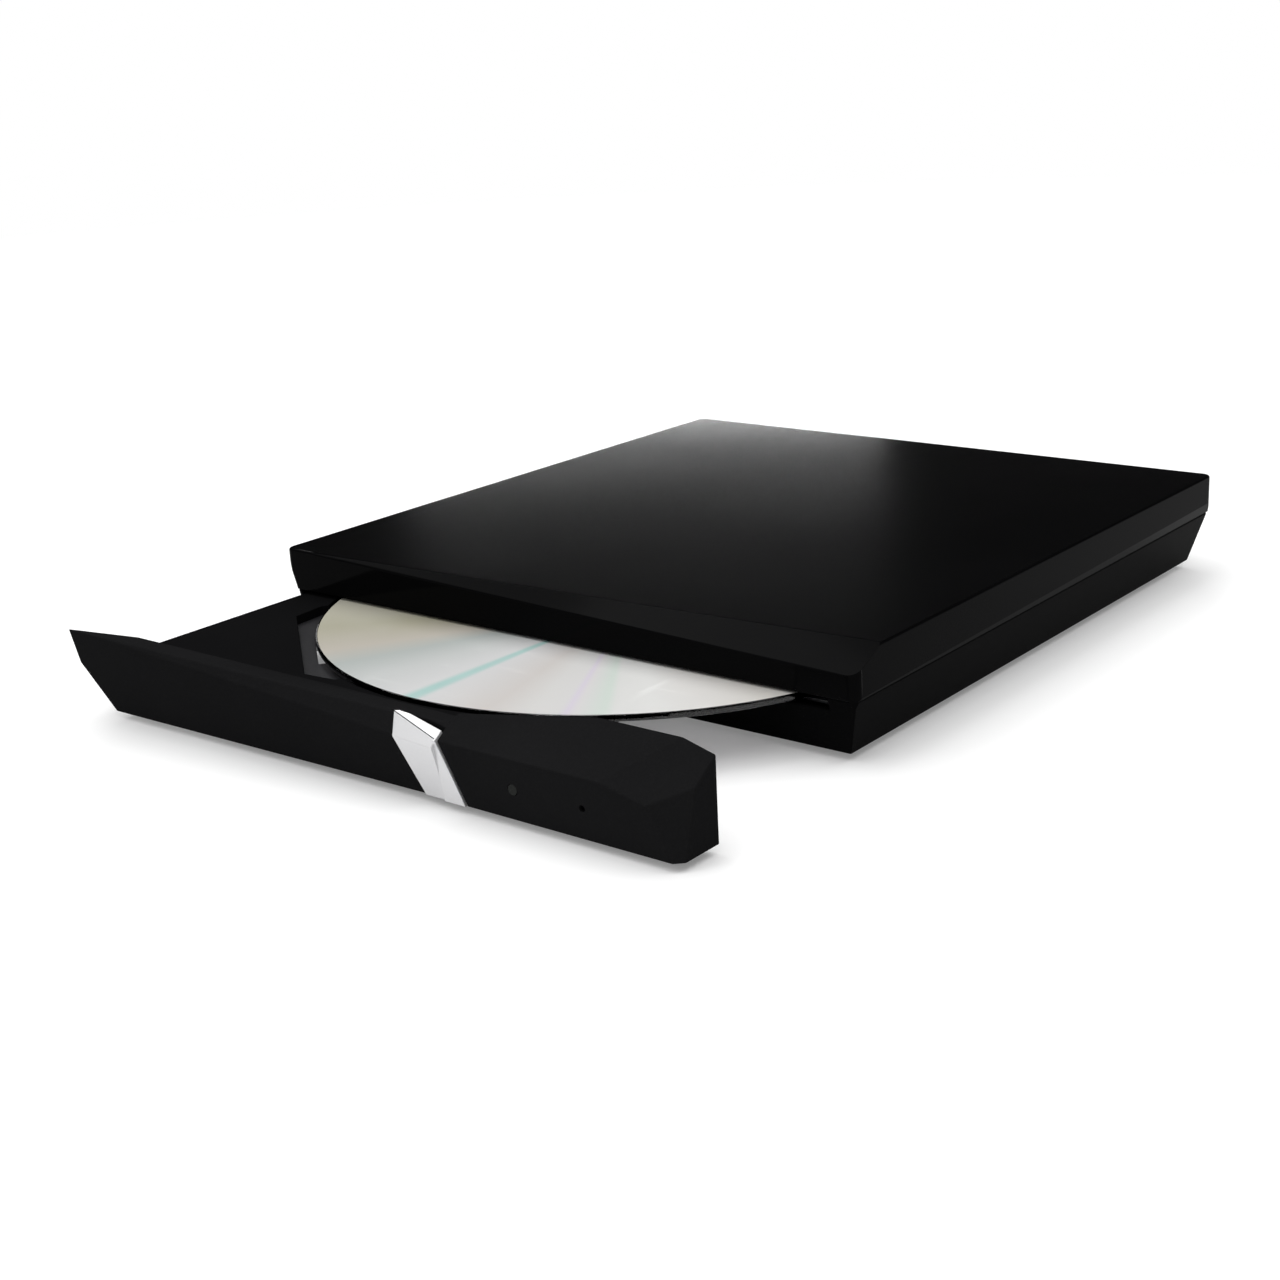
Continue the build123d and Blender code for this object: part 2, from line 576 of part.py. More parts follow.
def drive_pan():
    """Folded sheet pan with a raised shelf under the side where the disc overhangs the tray."""
    left = -MECH_HALF_WIDTH
    right = MECH_HALF_WIDTH
    step = STEP_WALL_X + SHEET
    shelf = SHELF_TOP_Z - SHEET
    pan = block(left, step, MECH_FRONT_Y, MECH_REAR_Y, PAN_Z, PAN_TOP_Z)
    pan += block(left, left + SHEET, MECH_FRONT_Y, MECH_REAR_Y, PAN_Z, JOG_Z)
    pan += block(left - JOG, left + SHEET, MECH_FRONT_Y, MECH_REAR_Y, JOG_Z - SHEET, JOG_Z)
    pan += block(left - JOG, left - JOG + SHEET, MECH_FRONT_Y, MECH_REAR_Y, JOG_Z - SHEET, COVER_Z)
    pan += block(STEP_WALL_X, step, MECH_FRONT_Y, MECH_REAR_Y, PAN_Z, SHELF_TOP_Z)
    pan += block(STEP_WALL_X, right, MECH_FRONT_Y, MECH_REAR_Y, shelf, SHELF_TOP_Z)
    pan += block(right - SHEET, right, MECH_FRONT_Y, MECH_REAR_Y, shelf, COVER_Z)
    pan += block(left, step, MECH_REAR_Y - SHEET, MECH_REAR_Y, PAN_Z, COVER_Z)
    pan += block(left - JOG, left, MECH_REAR_Y - SHEET, MECH_REAR_Y, JOG_Z - SHEET, COVER_Z)
    pan += block(step, right, MECH_REAR_Y - SHEET, MECH_REAR_Y, shelf, COVER_Z)
    for x, y, dx, dy in tab_places():
        ends_x = sorted((x, x + dx * TAB_SIZE))
        ends_y = sorted((y, y + dy * TAB_SIZE))
        pan += block(*ends_x, *ends_y, COVER_Z - COVER_SHEET, COVER_Z)
    for x, y, dx, dy in tab_places():
        pan -= upright(x + dx * TAB_SIZE / 2, y + dy * TAB_SIZE / 2, PAN_TOP_Z, COVER_Z,
                       COVER_SCREW_RADIUS + SCREW_GAP)
    for x, y in MECH_SCREW_PLACES:
        pan -= upright(x, y, PAN_Z, PAN_TOP_Z, SCREW_RADIUS + SCREW_GAP)
    return pan


def drive_cover():
    """Flat sheet cover of the mechanism."""
    left = -MECH_HALF_WIDTH - JOG
    cover = block(left, MECH_HALF_WIDTH, MECH_FRONT_Y, MECH_REAR_Y, COVER_Z, COVER_TOP_Z)
    for x, y, dx, dy in tab_places():
        cover -= upright(x + dx * TAB_SIZE / 2, y + dy * TAB_SIZE / 2, COVER_Z, COVER_TOP_Z,
                         COVER_SCREW_RADIUS + SCREW_GAP)
    return cover


def cover_screws():
    """Small screws through the cover into the pan's tabs."""
    screws = []
    for x, y, dx, dy in tab_places():
        cx = x + dx * TAB_SIZE / 2
        cy = y + dy * TAB_SIZE / 2
        shank = upright(cx, cy, COVER_Z - COVER_SHEET, COVER_TOP_Z, COVER_SCREW_RADIUS)
        head = upright(cx, cy, COVER_TOP_Z, COVER_TOP_Z + COVER_SCREW_HEAD_HEIGHT, COVER_SCREW_HEAD)
        screws.append(shank + head)
    return Compound(screws)


def channel(wall_x, inward, web, depth, lip, z0, z1, y0, y1, start=0.0):
    """A channel that opens away from its wall; web, depth and lip are its section's sizes."""
    ends = sorted((wall_x + inward * start, wall_x + inward * (start + depth)))
    hollow = sorted((wall_x + inward * (start + web), wall_x + inward * (start + depth + OVERRUN)))
    return block(*ends, y0, y1, z0, z1) - block(*hollow, y0, y1, z0 + lip, z1 - lip)


def guide(wall_x, inward):
    """Plastic guide on the pan's wall."""
    return channel(wall_x, inward, GUIDE_WEB, GUIDE_DEPTH, GUIDE_LIP, GUIDE_Z, GUIDE_Z + GUIDE_HEIGHT,
                   MECH_FRONT_Y + GUIDE_FRONT_GAP, MECH_REAR_Y - GUIDE_REAR_GAP)


def slide_heights():
    """Lower and upper edge of a slide, inside its guide."""
    inner = GUIDE_LIP + SLIDE_GAP
    return GUIDE_Z + inner, GUIDE_Z + GUIDE_HEIGHT - inner


def slide(wall_x, inward):
    """Telescopic steel slide between guide and tray."""
    z0, z1 = slide_heights()
    return channel(wall_x, inward, SLIDE_SHEET, SLIDE_DEPTH, SLIDE_SHEET, z0, z1,
                   SLIDE_FRONT_Y, MECH_REAR_Y - SLIDE_REAR_GAP, start=GUIDE_WEB + SLIDE_GAP)


def striker_pin():
    """Pin on the pan that the tray's lock lever hooks."""
    return upright(LOCK_PIN_X, LOCK_PIN_Y, PAN_TOP_Z, PAN_TOP_Z + LOCK_PIN_HEIGHT, LOCK_PIN_RADIUS)


def flex_cable():
    """Flat cable that lies on the pan's floor, from the rear wall forward."""
    return block(FLEX_X - FLEX_WIDTH / 2, FLEX_X + FLEX_WIDTH / 2, FLEX_FRONT_Y, MECH_REAR_Y - SHEET,
                 PAN_TOP_Z, PAN_TOP_Z + FLEX_THICKNESS)


# Bridge board and USB socket

def bridge_board():
    """Board behind the mechanism."""
    return block(*BRIDGE, BRIDGE_Z, BRIDGE_Z + BOARD_THICKNESS)


def bridge_chips():
    """Controller and memory chips on the bridge board, beside the socket."""
    top = BRIDGE_Z + BOARD_THICKNESS
    row = (BRIDGE[2] + BRIDGE[3]) / 2
    chips = []
    for place, size in BRIDGE_CHIPS:
        x = BRIDGE_LEFT_X + place
        half = size / 2
        chips.append(block(x - half, x + half, row - half, row + half, top, top + CHIP_HEIGHT))
    return Compound(chips)


def sata_connector():
    """Connector under the bridge board that plugs into the mechanism's rear wall."""
    half = SATA_WIDTH / 2
    low = BRIDGE_Z - SATA_DROP
    return block(SATA_X - half, SATA_X + half, MECH_REAR_Y, BRIDGE[2], low, low + SATA_HEIGHT)


def usb_shell():
    """Metal shell of the USB socket."""
    half = USB_WIDTH / 2
    low = usb_low_z()
    mouth = usb_mouth_y()
    outer = block(USB_X - half, USB_X + half, mouth - USB_DEPTH, mouth, low, low + USB_HEIGHT)
    outer = chamfer(outer.edges().filter_by(Axis.Y).group_by(Axis.Z)[0], USB_HEIGHT / 4)
    hollow = block(USB_X - half + USB_SHELL, USB_X + half - USB_SHELL, mouth - USB_DEPTH + USB_SHELL,
                   mouth + OVERRUN, low + USB_SHELL, low + USB_HEIGHT - USB_SHELL)
    hollow = chamfer(hollow.edges().filter_by(Axis.Y).group_by(Axis.Z)[0], USB_HEIGHT / 4)
    return outer - hollow


def usb_tongue():
    """Plastic tongue inside the USB socket."""
    low = usb_low_z() + (USB_HEIGHT - TONGUE_THICKNESS) / 2
    mouth = usb_mouth_y()
    return block(USB_X - TONGUE_WIDTH / 2, USB_X + TONGUE_WIDTH / 2,
                 mouth - USB_DEPTH + USB_SHELL, mouth - TONGUE_SINK, low, low + TONGUE_THICKNESS)


# Tray and bezel

def forward(depth):
    """Y of a point of the bezel, from its depth in front of the bezel's rear face."""
    return -BEZEL_GAP - depth


def on_mech(solid):
    """Puts a piece of the mechanism, built round the spindle, at its place on the tray."""
    return Pos(DISC_CENTRE_X, DISC_CENTRE_Y, 0) * Rot(0, 0, SLED_ANGLE) * solid


def plate_outline(grow):
    """Outline of the mechanism plate, or of the window round it."""
    half = PLATE_HALF + grow
    rear_half = PLATE_REAR_HALF + grow
    front = PLATE_FRONT_Y - grow * WINDOW_FRONT_SHARE
    rear = PLATE_REAR_Y + grow
    chamfered = half - PLATE_CHAMFER
    return [(-rear_half, rear), (rear_half, rear), (half, 0), (half, front + PLATE_CHAMFER),
            (chamfered, front), (-chamfered, front), (-half, front + PLATE_CHAMFER), (-half, 0)]


def plate_solid(grow, z0, z1):
    """The plate's outline as a slab."""
    points = [(x, y, z0) for x, y in plate_outline(grow)]
    return prism(points, (0, 0, 1), z1 - z0)


def tongue(wall_x, inward, edge_x):
    """Rib of the tray that runs in a slide."""
    z0, z1 = slide_heights()
    reach = wall_x + inward * (GUIDE_WEB + SLIDE_GAP + SLIDE_SHEET + TONGUE_GAP)
    gap = SLIDE_SHEET + TONGUE_GAP
    return block(*sorted((reach, edge_x)), SLIDE_FRONT_Y, TRAY_REAR_Y, z0 + gap, z1 - gap)


def cavity_ends():
    """Left and right end of the bezel's hollow."""
    return -(HALF_CASE - CAVITY_LEFT_END), HALF_CASE - CAVITY_END


def tray():
    """Moulded tray with the disc's recess, the mechanism's window and the flange of its front."""
    under = RECESS_Z - DECK_THICKNESS
    rim = LEFT_WALL_X - JOG + RIM_GAP
    body = block(TRAY_LEFT_X, TRAY_RIGHT_X, forward(0), TRAY_REAR_Y, TRAY_Z, TRAY_TOP_Z)
    body += block(rim, TRAY_LEFT_X, forward(0), TRAY_REAR_Y, JOG_Z + RIM_GAP, TRAY_TOP_Z)
    body -= block(TRAY_LEFT_X + TRAY_WALL, TRAY_RIGHT_X - TRAY_WALL, TRAY_WALL, TRAY_REAR_Y - TRAY_WALL,
                  TRAY_Z, under)
    bosses = [upright(x, y, PLATE_Z + PLATE_THICKNESS + DAMPER_FLANGE, under, DAMPER_RADIUS)
              for x, y in EAR_PLACES]
    holes = [upright(x, y, TRAY_Z, under, SHOULDER_RADIUS + SCREW_GAP) for x, y in EAR_PLACES]
    body += on_mech(Part() + bosses)
    body -= on_mech(Part() + holes)
    body = lock_pivot(body, under)
    body += tongue(LEFT_WALL_X, 1, TRAY_LEFT_X)
    body += tongue(STEP_WALL_X, -1, TRAY_RIGHT_X)
    left, right = cavity_ends()
    body += block(left + FLANGE_GAP, right - FLANGE_GAP, forward(FLANGE_THICKNESS), forward(0),
                  BEZEL_WALL + FLANGE_GAP, CAVITY_TOP_Z - FLANGE_GAP)
    body -= along_y(PINHOLE_X, LAMP_Z, forward(FLANGE_THICKNESS), forward(0), PINHOLE_RADIUS)
    body -= on_mech(plate_solid(WINDOW_GAP, under, TRAY_TOP_Z))
    body -= on_mech(upright(0, 0, RECESS_Z, TRAY_TOP_Z, DISC_RADIUS + RECESS_GAP))
    return body - on_mech(upright(0, 0, RECESS_Z - SMALL_RECESS_DEPTH, RECESS_Z, SMALL_RECESS_RADIUS))


def lock_pivot(body, under):
    """The tray with the lock lever's pivot and the slot that the striker pin enters by."""
    pin_top = PAN_TOP_Z + LOCK_PIN_HEIGHT
    slot = LOCK_PIN_RADIUS + 2 * LOCK_GAP
    body -= block(LOCK_PIN_X - slot, LOCK_PIN_X + slot, TRAY_REAR_Y - 2 * TRAY_WALL, TRAY_REAR_Y,
                  TRAY_Z, pin_top + LOCK_GAP)
    body += upright(LEVER_PIVOT_X, LEVER_PIVOT_Y, pin_top, under, LEVER_WIDTH)
    return body + upright(LEVER_PIVOT_X, LEVER_PIVOT_Y, TRAY_Z, pin_top, PIVOT_RADIUS)


def strip_outline(grow):
    """Corners of the slanted strip in X and Z, from below the bezel to above it."""
    lean = STRIP_SLANT / CREST_Z
    low = -2 * OVERRUN
    high = RIGHT_REAR_Z + 2 * OVERRUN
    left = STRIP_LEFT_X - grow
    right = STRIP_LEFT_X + STRIP_WIDTH + grow
    return [(left - lean * low, low), (right - lean * low, low),
            (right - lean * high, high), (left - lean * high, high)]


def strip_prism(grow, near, far):
    """The strip's outline between two depths."""
    points = [(x, forward(near), z) for x, z in strip_outline(grow)]
    return prism(points, (0, -1, 0), far - near)


def half_bezel(section, x0, x1):
    """A section in depth and height, extruded between two ends."""
    points = [(x0, forward(depth), z) for depth, z in section]
    return prism(points, (1, 0, 0), x1 - x0)


def left_form(proud):
    """The left half's outer form: flat facets between its rear edge, crest, ridge and lower edge."""
    start = STRIP_LEFT_X - STRIP_SLANT
    middle = STRIP_LEFT_X + STRIP_WIDTH / 2
    body = block(-HALF_CASE, middle, forward(2 * TIP_DEPTH), forward(0), 0, 2 * TIP_Z)
    rear = (start, forward(0), BEZEL_REAR_LEFT_Z)
    rear_end = (-HALF_CASE, forward(0), BEZEL_REAR_LEFT_Z)
    crest = (start, forward(CREST_DEPTH), CREST_Z + proud)
    tip = (-HALF_CASE, forward(TIP_DEPTH), TIP_Z)
    ridge = (start, forward(RIDGE_DEPTH + proud), RIDGE_Z)
    ridge_end = (-HALF_CASE, forward(TIP_RIDGE_DEPTH), TIP_RIDGE_Z)
    low = (start, forward(BEZEL_BOTTOM_DEPTH + proud), 0)
    above = (0, -FAR, FAR)
    for facet in ((rear, crest, tip), (rear, rear_end, tip), (crest, ridge, tip), (ridge, ridge_end, tip)):
        body = cut_beyond(body, *facet, above)
    body = cut_beyond(body, ridge, ridge_end, low, (0, -FAR, 0))
    return cut_beyond(body, (-HALF_CASE, forward(0), TIP_RIDGE_Z), (-HALF_CASE, forward(1), TIP_RIDGE_Z),
                      (-HALF_CASE + LEFT_END_LEAN, forward(0), 0), (-FAR, 0, 0))


def right_form(proud, facet_top):
    """The right half's outer form, whose rear edge climbs from the strip to its full height."""
    middle = STRIP_LEFT_X + STRIP_WIDTH / 2
    body = half_bezel([(0, 0), (0, RIGHT_REAR_Z), (RIGHT_RIDGE_DEPTH + proud, RIGHT_RIDGE_Z),
                       (BEZEL_BOTTOM_DEPTH + proud, 0)], middle, HALF_CASE)
    body = cut_beyond(body, (facet_top[0], forward(0), FACET_START_Z + proud),
                      (STRIP_LEFT_X + FACET_RUN, forward(0), RIGHT_REAR_Z + proud), facet_top, (0, 0, FAR))
    body = cut_beyond(body, (HALF_CASE - RIGHT_END_RUN, forward(0), RIGHT_REAR_Z),
                      (HALF_CASE, forward(0), RIGHT_REAR_Z - RIGHT_END_DROP),
                      (HALF_CASE, forward(RIGHT_END_DEPTH), RIGHT_RIDGE_Z), (0, 0, FAR))
    return cut_beyond(body, (HALF_CASE, forward(RIGHT_END_DEPTH), RIGHT_RIDGE_Z),
                      (HALF_CASE, forward(RIGHT_END_LOW_DEPTH), 0),
                      (HALF_CASE - RIGHT_END_RUN, forward(RIGHT_RIDGE_DEPTH), RIGHT_RIDGE_Z),
                      (FAR, -FAR, 0))


def bezel_form(proud):
    """The bezel's outer form, or one that is a little proud of it, for the strip's face."""
    climb = (RIGHT_REAR_Z - RIGHT_RIDGE_Z) / RIGHT_RIDGE_DEPTH
    facet_top = (STRIP_LEFT_X + STRIP_WIDTH - STRIP_SLANT, forward(FACET_START_DEPTH),
                 RIGHT_REAR_Z - climb * FACET_START_DEPTH + proud)
    crest = (STRIP_LEFT_X - STRIP_SLANT, forward(CREST_DEPTH), CREST_Z + proud)
    meeting = (STRIP_LEFT_X + STRIP_WIDTH / 2, forward(RIGHT_RIDGE_DEPTH + proud), RIGHT_RIDGE_Z)
    left = cut_beyond(left_form(proud), crest, facet_top, meeting, (FAR, -FAR, FAR))
    return left + right_form(proud, facet_top)


def front_bezel():
    """Hollow faceted front of the tray, with the strip's groove and the holes of its face."""
    left, right = cavity_ends()
    body = bezel_form(0)
    body -= block(left, right, forward(CAVITY_DEPTH), forward(-1), BEZEL_WALL, CAVITY_TOP_Z)
    body -= strip_prism(STRIP_GAP, STRIP_SEAT_DEPTH, FAR)
    stem_left, stem_right, stem_low, stem_high = stem_box(STRIP_GAP)
    body -= block(stem_left, stem_right, forward(STRIP_SEAT_DEPTH), forward(CAVITY_DEPTH),
                  stem_low, stem_high)
    body -= along_y(LAMP_X, LAMP_Z, forward(RIDGE_DEPTH), forward(CAVITY_DEPTH), LAMP_RADIUS + LAMP_GAP)
    return body - along_y(PINHOLE_X, LAMP_Z, forward(RIDGE_DEPTH), forward(CAVITY_DEPTH), PINHOLE_RADIUS)


def stem_box(grow):
    """Left, right, lower and upper edge of the eject button's stem."""
    middle = STRIP_LEFT_X + STRIP_WIDTH / 2 - STRIP_SLANT * (STEM_Z + STEM_HEIGHT / 2) / CREST_Z
    half = STEM_WIDTH / 2 + grow
    return middle - half, middle + half, STEM_Z - grow, STEM_Z + STEM_HEIGHT + grow


def eject_button():
    """Slanted strip with a stem and a flange that keeps it in the bezel."""
    back = STRIP_SEAT_DEPTH + PRESS_TRAVEL + PRESS_GAP
    face = bezel_form(STRIP_PROUD) & strip_prism(0, back, FAR)
    face = face.solids().sort_by(SortBy.VOLUME)[-1]
    low = stem_box(0)
    body = face + block(low[0], low[1], forward(back + STEM_ROOT), forward(STEM_END_DEPTH),
                        low[2], low[3])
    wide = stem_box(STEM_FLANGE)
    return body + block(wide[0], wide[1], forward(STEM_END_DEPTH + STEM_FLANGE), forward(STEM_END_DEPTH),
                        wide[2], wide[3])


def button_board():
    """Small board on the tray's flange, behind the bezel."""
    near = forward(FLANGE_THICKNESS)
    return block(BOARD_LEFT_X, BOARD_RIGHT_X, near - BOARD_THICKNESS, near,
                 BEZEL_WALL + 2 * FLANGE_GAP, CAVITY_TOP_Z - 2 * FLANGE_GAP)


def eject_switch():
    """Push switch behind the eject button."""
    left, right, low, high = stem_box(0)
    x = (left + right) / 2
    z = (low + high) / 2
    half = SWITCH_WIDTH / 2
    base = FLANGE_THICKNESS + BOARD_THICKNESS
    body = block(x - half, x + half, forward(base + SWITCH_DEPTH), forward(base), z - half, z + half)
    return body + along_y(x, z, forward(SWITCH_TIP_DEPTH), forward(base + SWITCH_DEPTH), PLUNGER_RADIUS)


def lamp_led():
    """Light source of the activity lamp, on the button board."""
    base = FLANGE_THICKNESS + BOARD_THICKNESS
    return block(LAMP_X - LED_HALF, LAMP_X + LED_HALF, forward(base + LED_DEPTH), forward(base),
                 LAMP_Z - LED_HALF, LAMP_Z + LED_HALF)


def lamp_pipe():
    """Light pipe from the lamp's source to the bezel's face."""
    base = FLANGE_THICKNESS + BOARD_THICKNESS + LED_DEPTH
    face = BEZEL_BOTTOM_DEPTH + (RIGHT_RIDGE_DEPTH - BEZEL_BOTTOM_DEPTH) * LAMP_Z / RIGHT_RIDGE_Z
    return along_y(LAMP_X, LAMP_Z, forward(face), forward(base), LAMP_RADIUS)


# Mechanism on the tray, each piece round the spindle

def traverse_frame():
    """Steel plate that carries spindle, rods and lead screw, with ears for its dampers."""
    top = PLATE_Z + PLATE_THICKNESS
    plate = plate_solid(0, PLATE_Z, top)
    for x, y in EAR_PLACES:
        plate += upright(x, y, PLATE_Z, top, EAR_RADIUS)
        if abs(x) > PLATE_HALF:
            ends = sorted((x, math.copysign(PLATE_HALF - OVERRUN, x)))
            plate += block(*ends, y - EAR_RADIUS, y + EAR_RADIUS, PLATE_Z, top)
        else:
            plate += block(x - EAR_RADIUS, x + EAR_RADIUS, PLATE_REAR_Y - OVERRUN, y, PLATE_Z, top)
    window_end = LENS_START + LENS_TRAVEL + SLED_OUTER + SLED_STOP_GAP
    plate -= block(-PLATE_WINDOW_HALF, PLATE_WINDOW_HALF, -window_end, -PLATE_WINDOW_START, PLATE_Z, top)
    motor_half = STEPPER_WIDTH / 2 + STEPPER_GAP
    plate -= block(SCREW_X - motor_half, SCREW_X + motor_half, stepper_front() - STEPPER_GAP,
                   stepper_front() + STEPPER_LENGTH + STEPPER_GAP, PLATE_Z, top)
    for x, y in EAR_PLACES:
        plate -= upright(x, y, PLATE_Z, top, DAMPER_WAIST + DAMPER_GAP)
    for x in (-ROD_X, ROD_X):
        for y in rod_ends():
            plate += block(x - ROD_HOLDER, x + ROD_HOLDER, y, y + ROD_HOLDER, top, top + ROD_HOLDER_HEIGHT)
    bearing_half = LEAD_RADIUS + NUT_WALL
    plate += block(SCREW_X - bearing_half, SCREW_X + bearing_half, -LEAD_END, -LEAD_END + LEAD_BEARING,
                   top, top + ROD_HOLDER_HEIGHT)
    for x in (-ROD_X, ROD_X):
        plate -= along_y(x, ROD_Z, rod_ends()[1] - OVERRUN, rod_ends()[0] + ROD_HOLDER + OVERRUN, ROD_RADIUS)
    plate -= along_y(SCREW_X, ROD_Z, -LEAD_END - OVERRUN, stepper_front(), LEAD_RADIUS + SHAFT_FIT)
    plate -= upright(0, 0, PLATE_Z, top, SHAFT_RADIUS + 2 * SHAFT_FIT)
    return on_mech(plate)


def rod_ends():
    """Front face of the inner and of the outer rod holders."""
    outer = -(LENS_START + LENS_TRAVEL + SLED_OUTER + SLED_STOP_GAP + ROD_HOLDER)
    return -ROD_START - ROD_HOLDER, outer


def stepper_front():
    """Front end of the stepper motor."""
    return -ROD_START


def dampers():
    """Rubber grommets in the plate's ears."""
    rings = []
    low = PLATE_Z
    top = PLATE_Z + PLATE_THICKNESS
    for x, y in EAR_PLACES:
        ring = upright(x, y, low, top, DAMPER_WAIST)
        ring += upright(x, y, top, top + DAMPER_FLANGE, DAMPER_RADIUS)
        rings.append(on_mech(ring - upright(x, y, low, top + DAMPER_FLANGE, SHOULDER_RADIUS + SCREW_GAP)))
    return Compound(rings)


def damper_screws():
    """Shouldered screws through the dampers into the tray's bosses."""
    screws = []
    for x, y in EAR_PLACES:
        head = upright(x, y, PLATE_Z - DAMPER_HEAD_HEIGHT, PLATE_Z, DAMPER_HEAD_RADIUS)
        shank = upright(x, y, PLATE_Z, RECESS_Z - DECK_THICKNESS, SHOULDER_RADIUS)
        screws.append(on_mech(head + shank))
    return Compound(screws)


def mech_cover():
    """Thin plate over the mechanism, with the hub's hole and the lens's slot."""
    top = RECESS_Z - SMALL_RECESS_DEPTH
    plate = plate_solid(WINDOW_GAP - MECH_COVER_GAP, top - MECH_COVER_SHEET, top)
    plate -= upright(0, 0, top - MECH_COVER_SHEET, top, TURNTABLE_RADIUS + HUB_HOLE_GAP)
    slot_end = LENS_START + LENS_TRAVEL + SLED_OUTER
    return on_mech(plate - block(-LENS_SLOT_HALF, LENS_SLOT_HALF, -slot_end, 0, top - MECH_COVER_SHEET, top))


def spindle_motor():
    """Base of the spindle motor with its bearing tube."""
    z0 = PLATE_Z + PLATE_THICKNESS
    base = upright(0, 0, z0, z0 + MOTOR_BASE_HEIGHT, MOTOR_RADIUS)
    base += upright(0, 0, z0 + MOTOR_BASE_HEIGHT, DISC_Z - TURNTABLE_THICKNESS - BEARING_GAP,
                    SHAFT_RADIUS + BEARING_WALL)
    return on_mech(base - upright(0, 0, z0, DISC_Z, SHAFT_RADIUS + SHAFT_FIT))


def claw_angles():
    """Directions of the hub's claws."""
    return [360 / CLAW_COUNT * index for index in range(CLAW_COUNT)]


def hub_top():
    """Height of the hub's upper face."""
    return DISC_Z + HUB_RISE


def turntable():
    """Rotor with its shaft, the turntable and the hub that centres the disc."""
    face = DISC_Z
    body = upright(0, 0, face - TURNTABLE_THICKNESS, face - PAD_RING_HEIGHT, TURNTABLE_RADIUS)
    body += upright(0, 0, face - PAD_RING_HEIGHT, face, TURNTABLE_RADIUS - PAD_RING_WIDTH)
    body += upright(0, 0, face, hub_top(), HUB_RADIUS)
    skirt_z = PLATE_Z + PLATE_THICKNESS + MOTOR_BASE_HEIGHT + SPINDLE_GAP
    skirt = upright(0, 0, skirt_z, face - TURNTABLE_THICKNESS, ROTOR_RADIUS)
    skirt -= upright(0, 0, skirt_z, face - TURNTABLE_THICKNESS, ROTOR_RADIUS - SHEET)
    body += skirt
    body += upright(0, 0, PLATE_Z, face, SHAFT_RADIUS)
    half = CLAW_WIDTH / 2 + CLAW_GAP
    slot = block(HUB_RADIUS - CLAW_DEPTH - CLAW_TRAVEL - CLAW_GAP, 2 * HUB_RADIUS, -half, half,
                 hub_top() - CLAW_HEIGHT - CLAW_GAP, hub_top())
    for angle in claw_angles():
        body -= Rot(0, 0, angle) * slot
    return on_mech(body)


def turntable_ring():
    """Rubber ring that grips the disc."""
    ring = upright(0, 0, DISC_Z - PAD_RING_HEIGHT, DISC_Z, TURNTABLE_RADIUS)
    return on_mech(ring - upright(0, 0, DISC_Z - PAD_RING_HEIGHT, DISC_Z, TURNTABLE_RADIUS - PAD_RING_WIDTH))


def hub_claw(angle):
    """One spring claw of the hub."""
    half = CLAW_WIDTH / 2
    claw = block(HUB_RADIUS - CLAW_DEPTH, HUB_RADIUS, -half, half, hub_top() - CLAW_HEIGHT, hub_top())
    claw += block(HUB_RADIUS, DISC_BORE_RADIUS + CLAW_LIP, -half, half, DISC_TOP_Z + CLAW_GAP, hub_top())
    return on_mech(Rot(0, 0, angle) * claw)


def disc():
    """The disc."""
    body = upright(0, 0, DISC_Z, DISC_TOP_Z, DISC_RADIUS)
    return on_mech(body - upright(0, 0, DISC_Z, DISC_TOP_Z, DISC_BORE_RADIUS))


def guide_rods():
    """Two rods that the sled runs on."""
    inner, outer = rod_ends()
    rods = [along_y(x, ROD_Z, outer, inner + ROD_HOLDER, ROD_RADIUS) for x in (-ROD_X, ROD_X)]
    return on_mech(Compound(rods))


def stepper_motor():
    """Flat stepper motor that turns the lead screw."""
    half = STEPPER_WIDTH / 2
    front = stepper_front()
    can = block(SCREW_X - half, SCREW_X + half, front, front + STEPPER_LENGTH,
                STEPPER_Z, STEPPER_Z + STEPPER_HEIGHT)
    can = fillet(can.edges().filter_by(Axis.Y), STEPPER_HEIGHT / 4)
    bore = along_y(SCREW_X, ROD_Z, front - OVERRUN, front + STEPPER_LENGTH / 2, LEAD_RADIUS + SHAFT_FIT)
    return on_mech(can - bore)


def lead_screw():
    """Lead screw with a ring groove at each turn of its pitch."""
    end = -LEAD_END
    start = stepper_front() + STEPPER_LENGTH / 2 - OVERRUN
    body = along_y(SCREW_X, ROD_Z, end, start, LEAD_RADIUS)
    turns = int((LEAD_END - ROD_START - LEAD_BEARING) / LEAD_PITCH)
    for turn in range(1, turns):
        y = end + LEAD_BEARING + turn * LEAD_PITCH
        ring = along_y(SCREW_X, ROD_Z, y, y + GROOVE_WIDTH, LEAD_RADIUS)
        body -= ring - along_y(SCREW_X, ROD_Z, y, y + GROOVE_WIDTH, GROOVE_RADIUS)
    return on_mech(body)


def sled_body():
    """Pickup sled on its two rods, with the lens holder's well."""
    near = -(LENS_START - SLED_INNER)
    far = -(LENS_START + SLED_OUTER)
    body = block(-SLED_HALF, SLED_HALF, far, near, SLED_Z, SLED_TOP_Z)
    body += block(-SLED_BELLY_HALF, SLED_BELLY_HALF, far, near, SLED_BELLY_Z, SLED_Z)
    for x in (-ROD_X, ROD_X):
        body -= along_y(x, ROD_Z, far - OVERRUN, near + OVERRUN, ROD_RADIUS + ROD_FIT)
    half_x = HOLDER_WIDTH / 2 + HOLDER_GAP
    half_y = HOLDER_DEPTH / 2 + HOLDER_GAP
    well = lens_top_low() - FOCUS_TRAVEL - HOLDER_GAP
    body -= block(-half_x, half_x, -LENS_START - half_y, -LENS_START + half_y, well, SLED_TOP_Z)
    return on_mech(body)


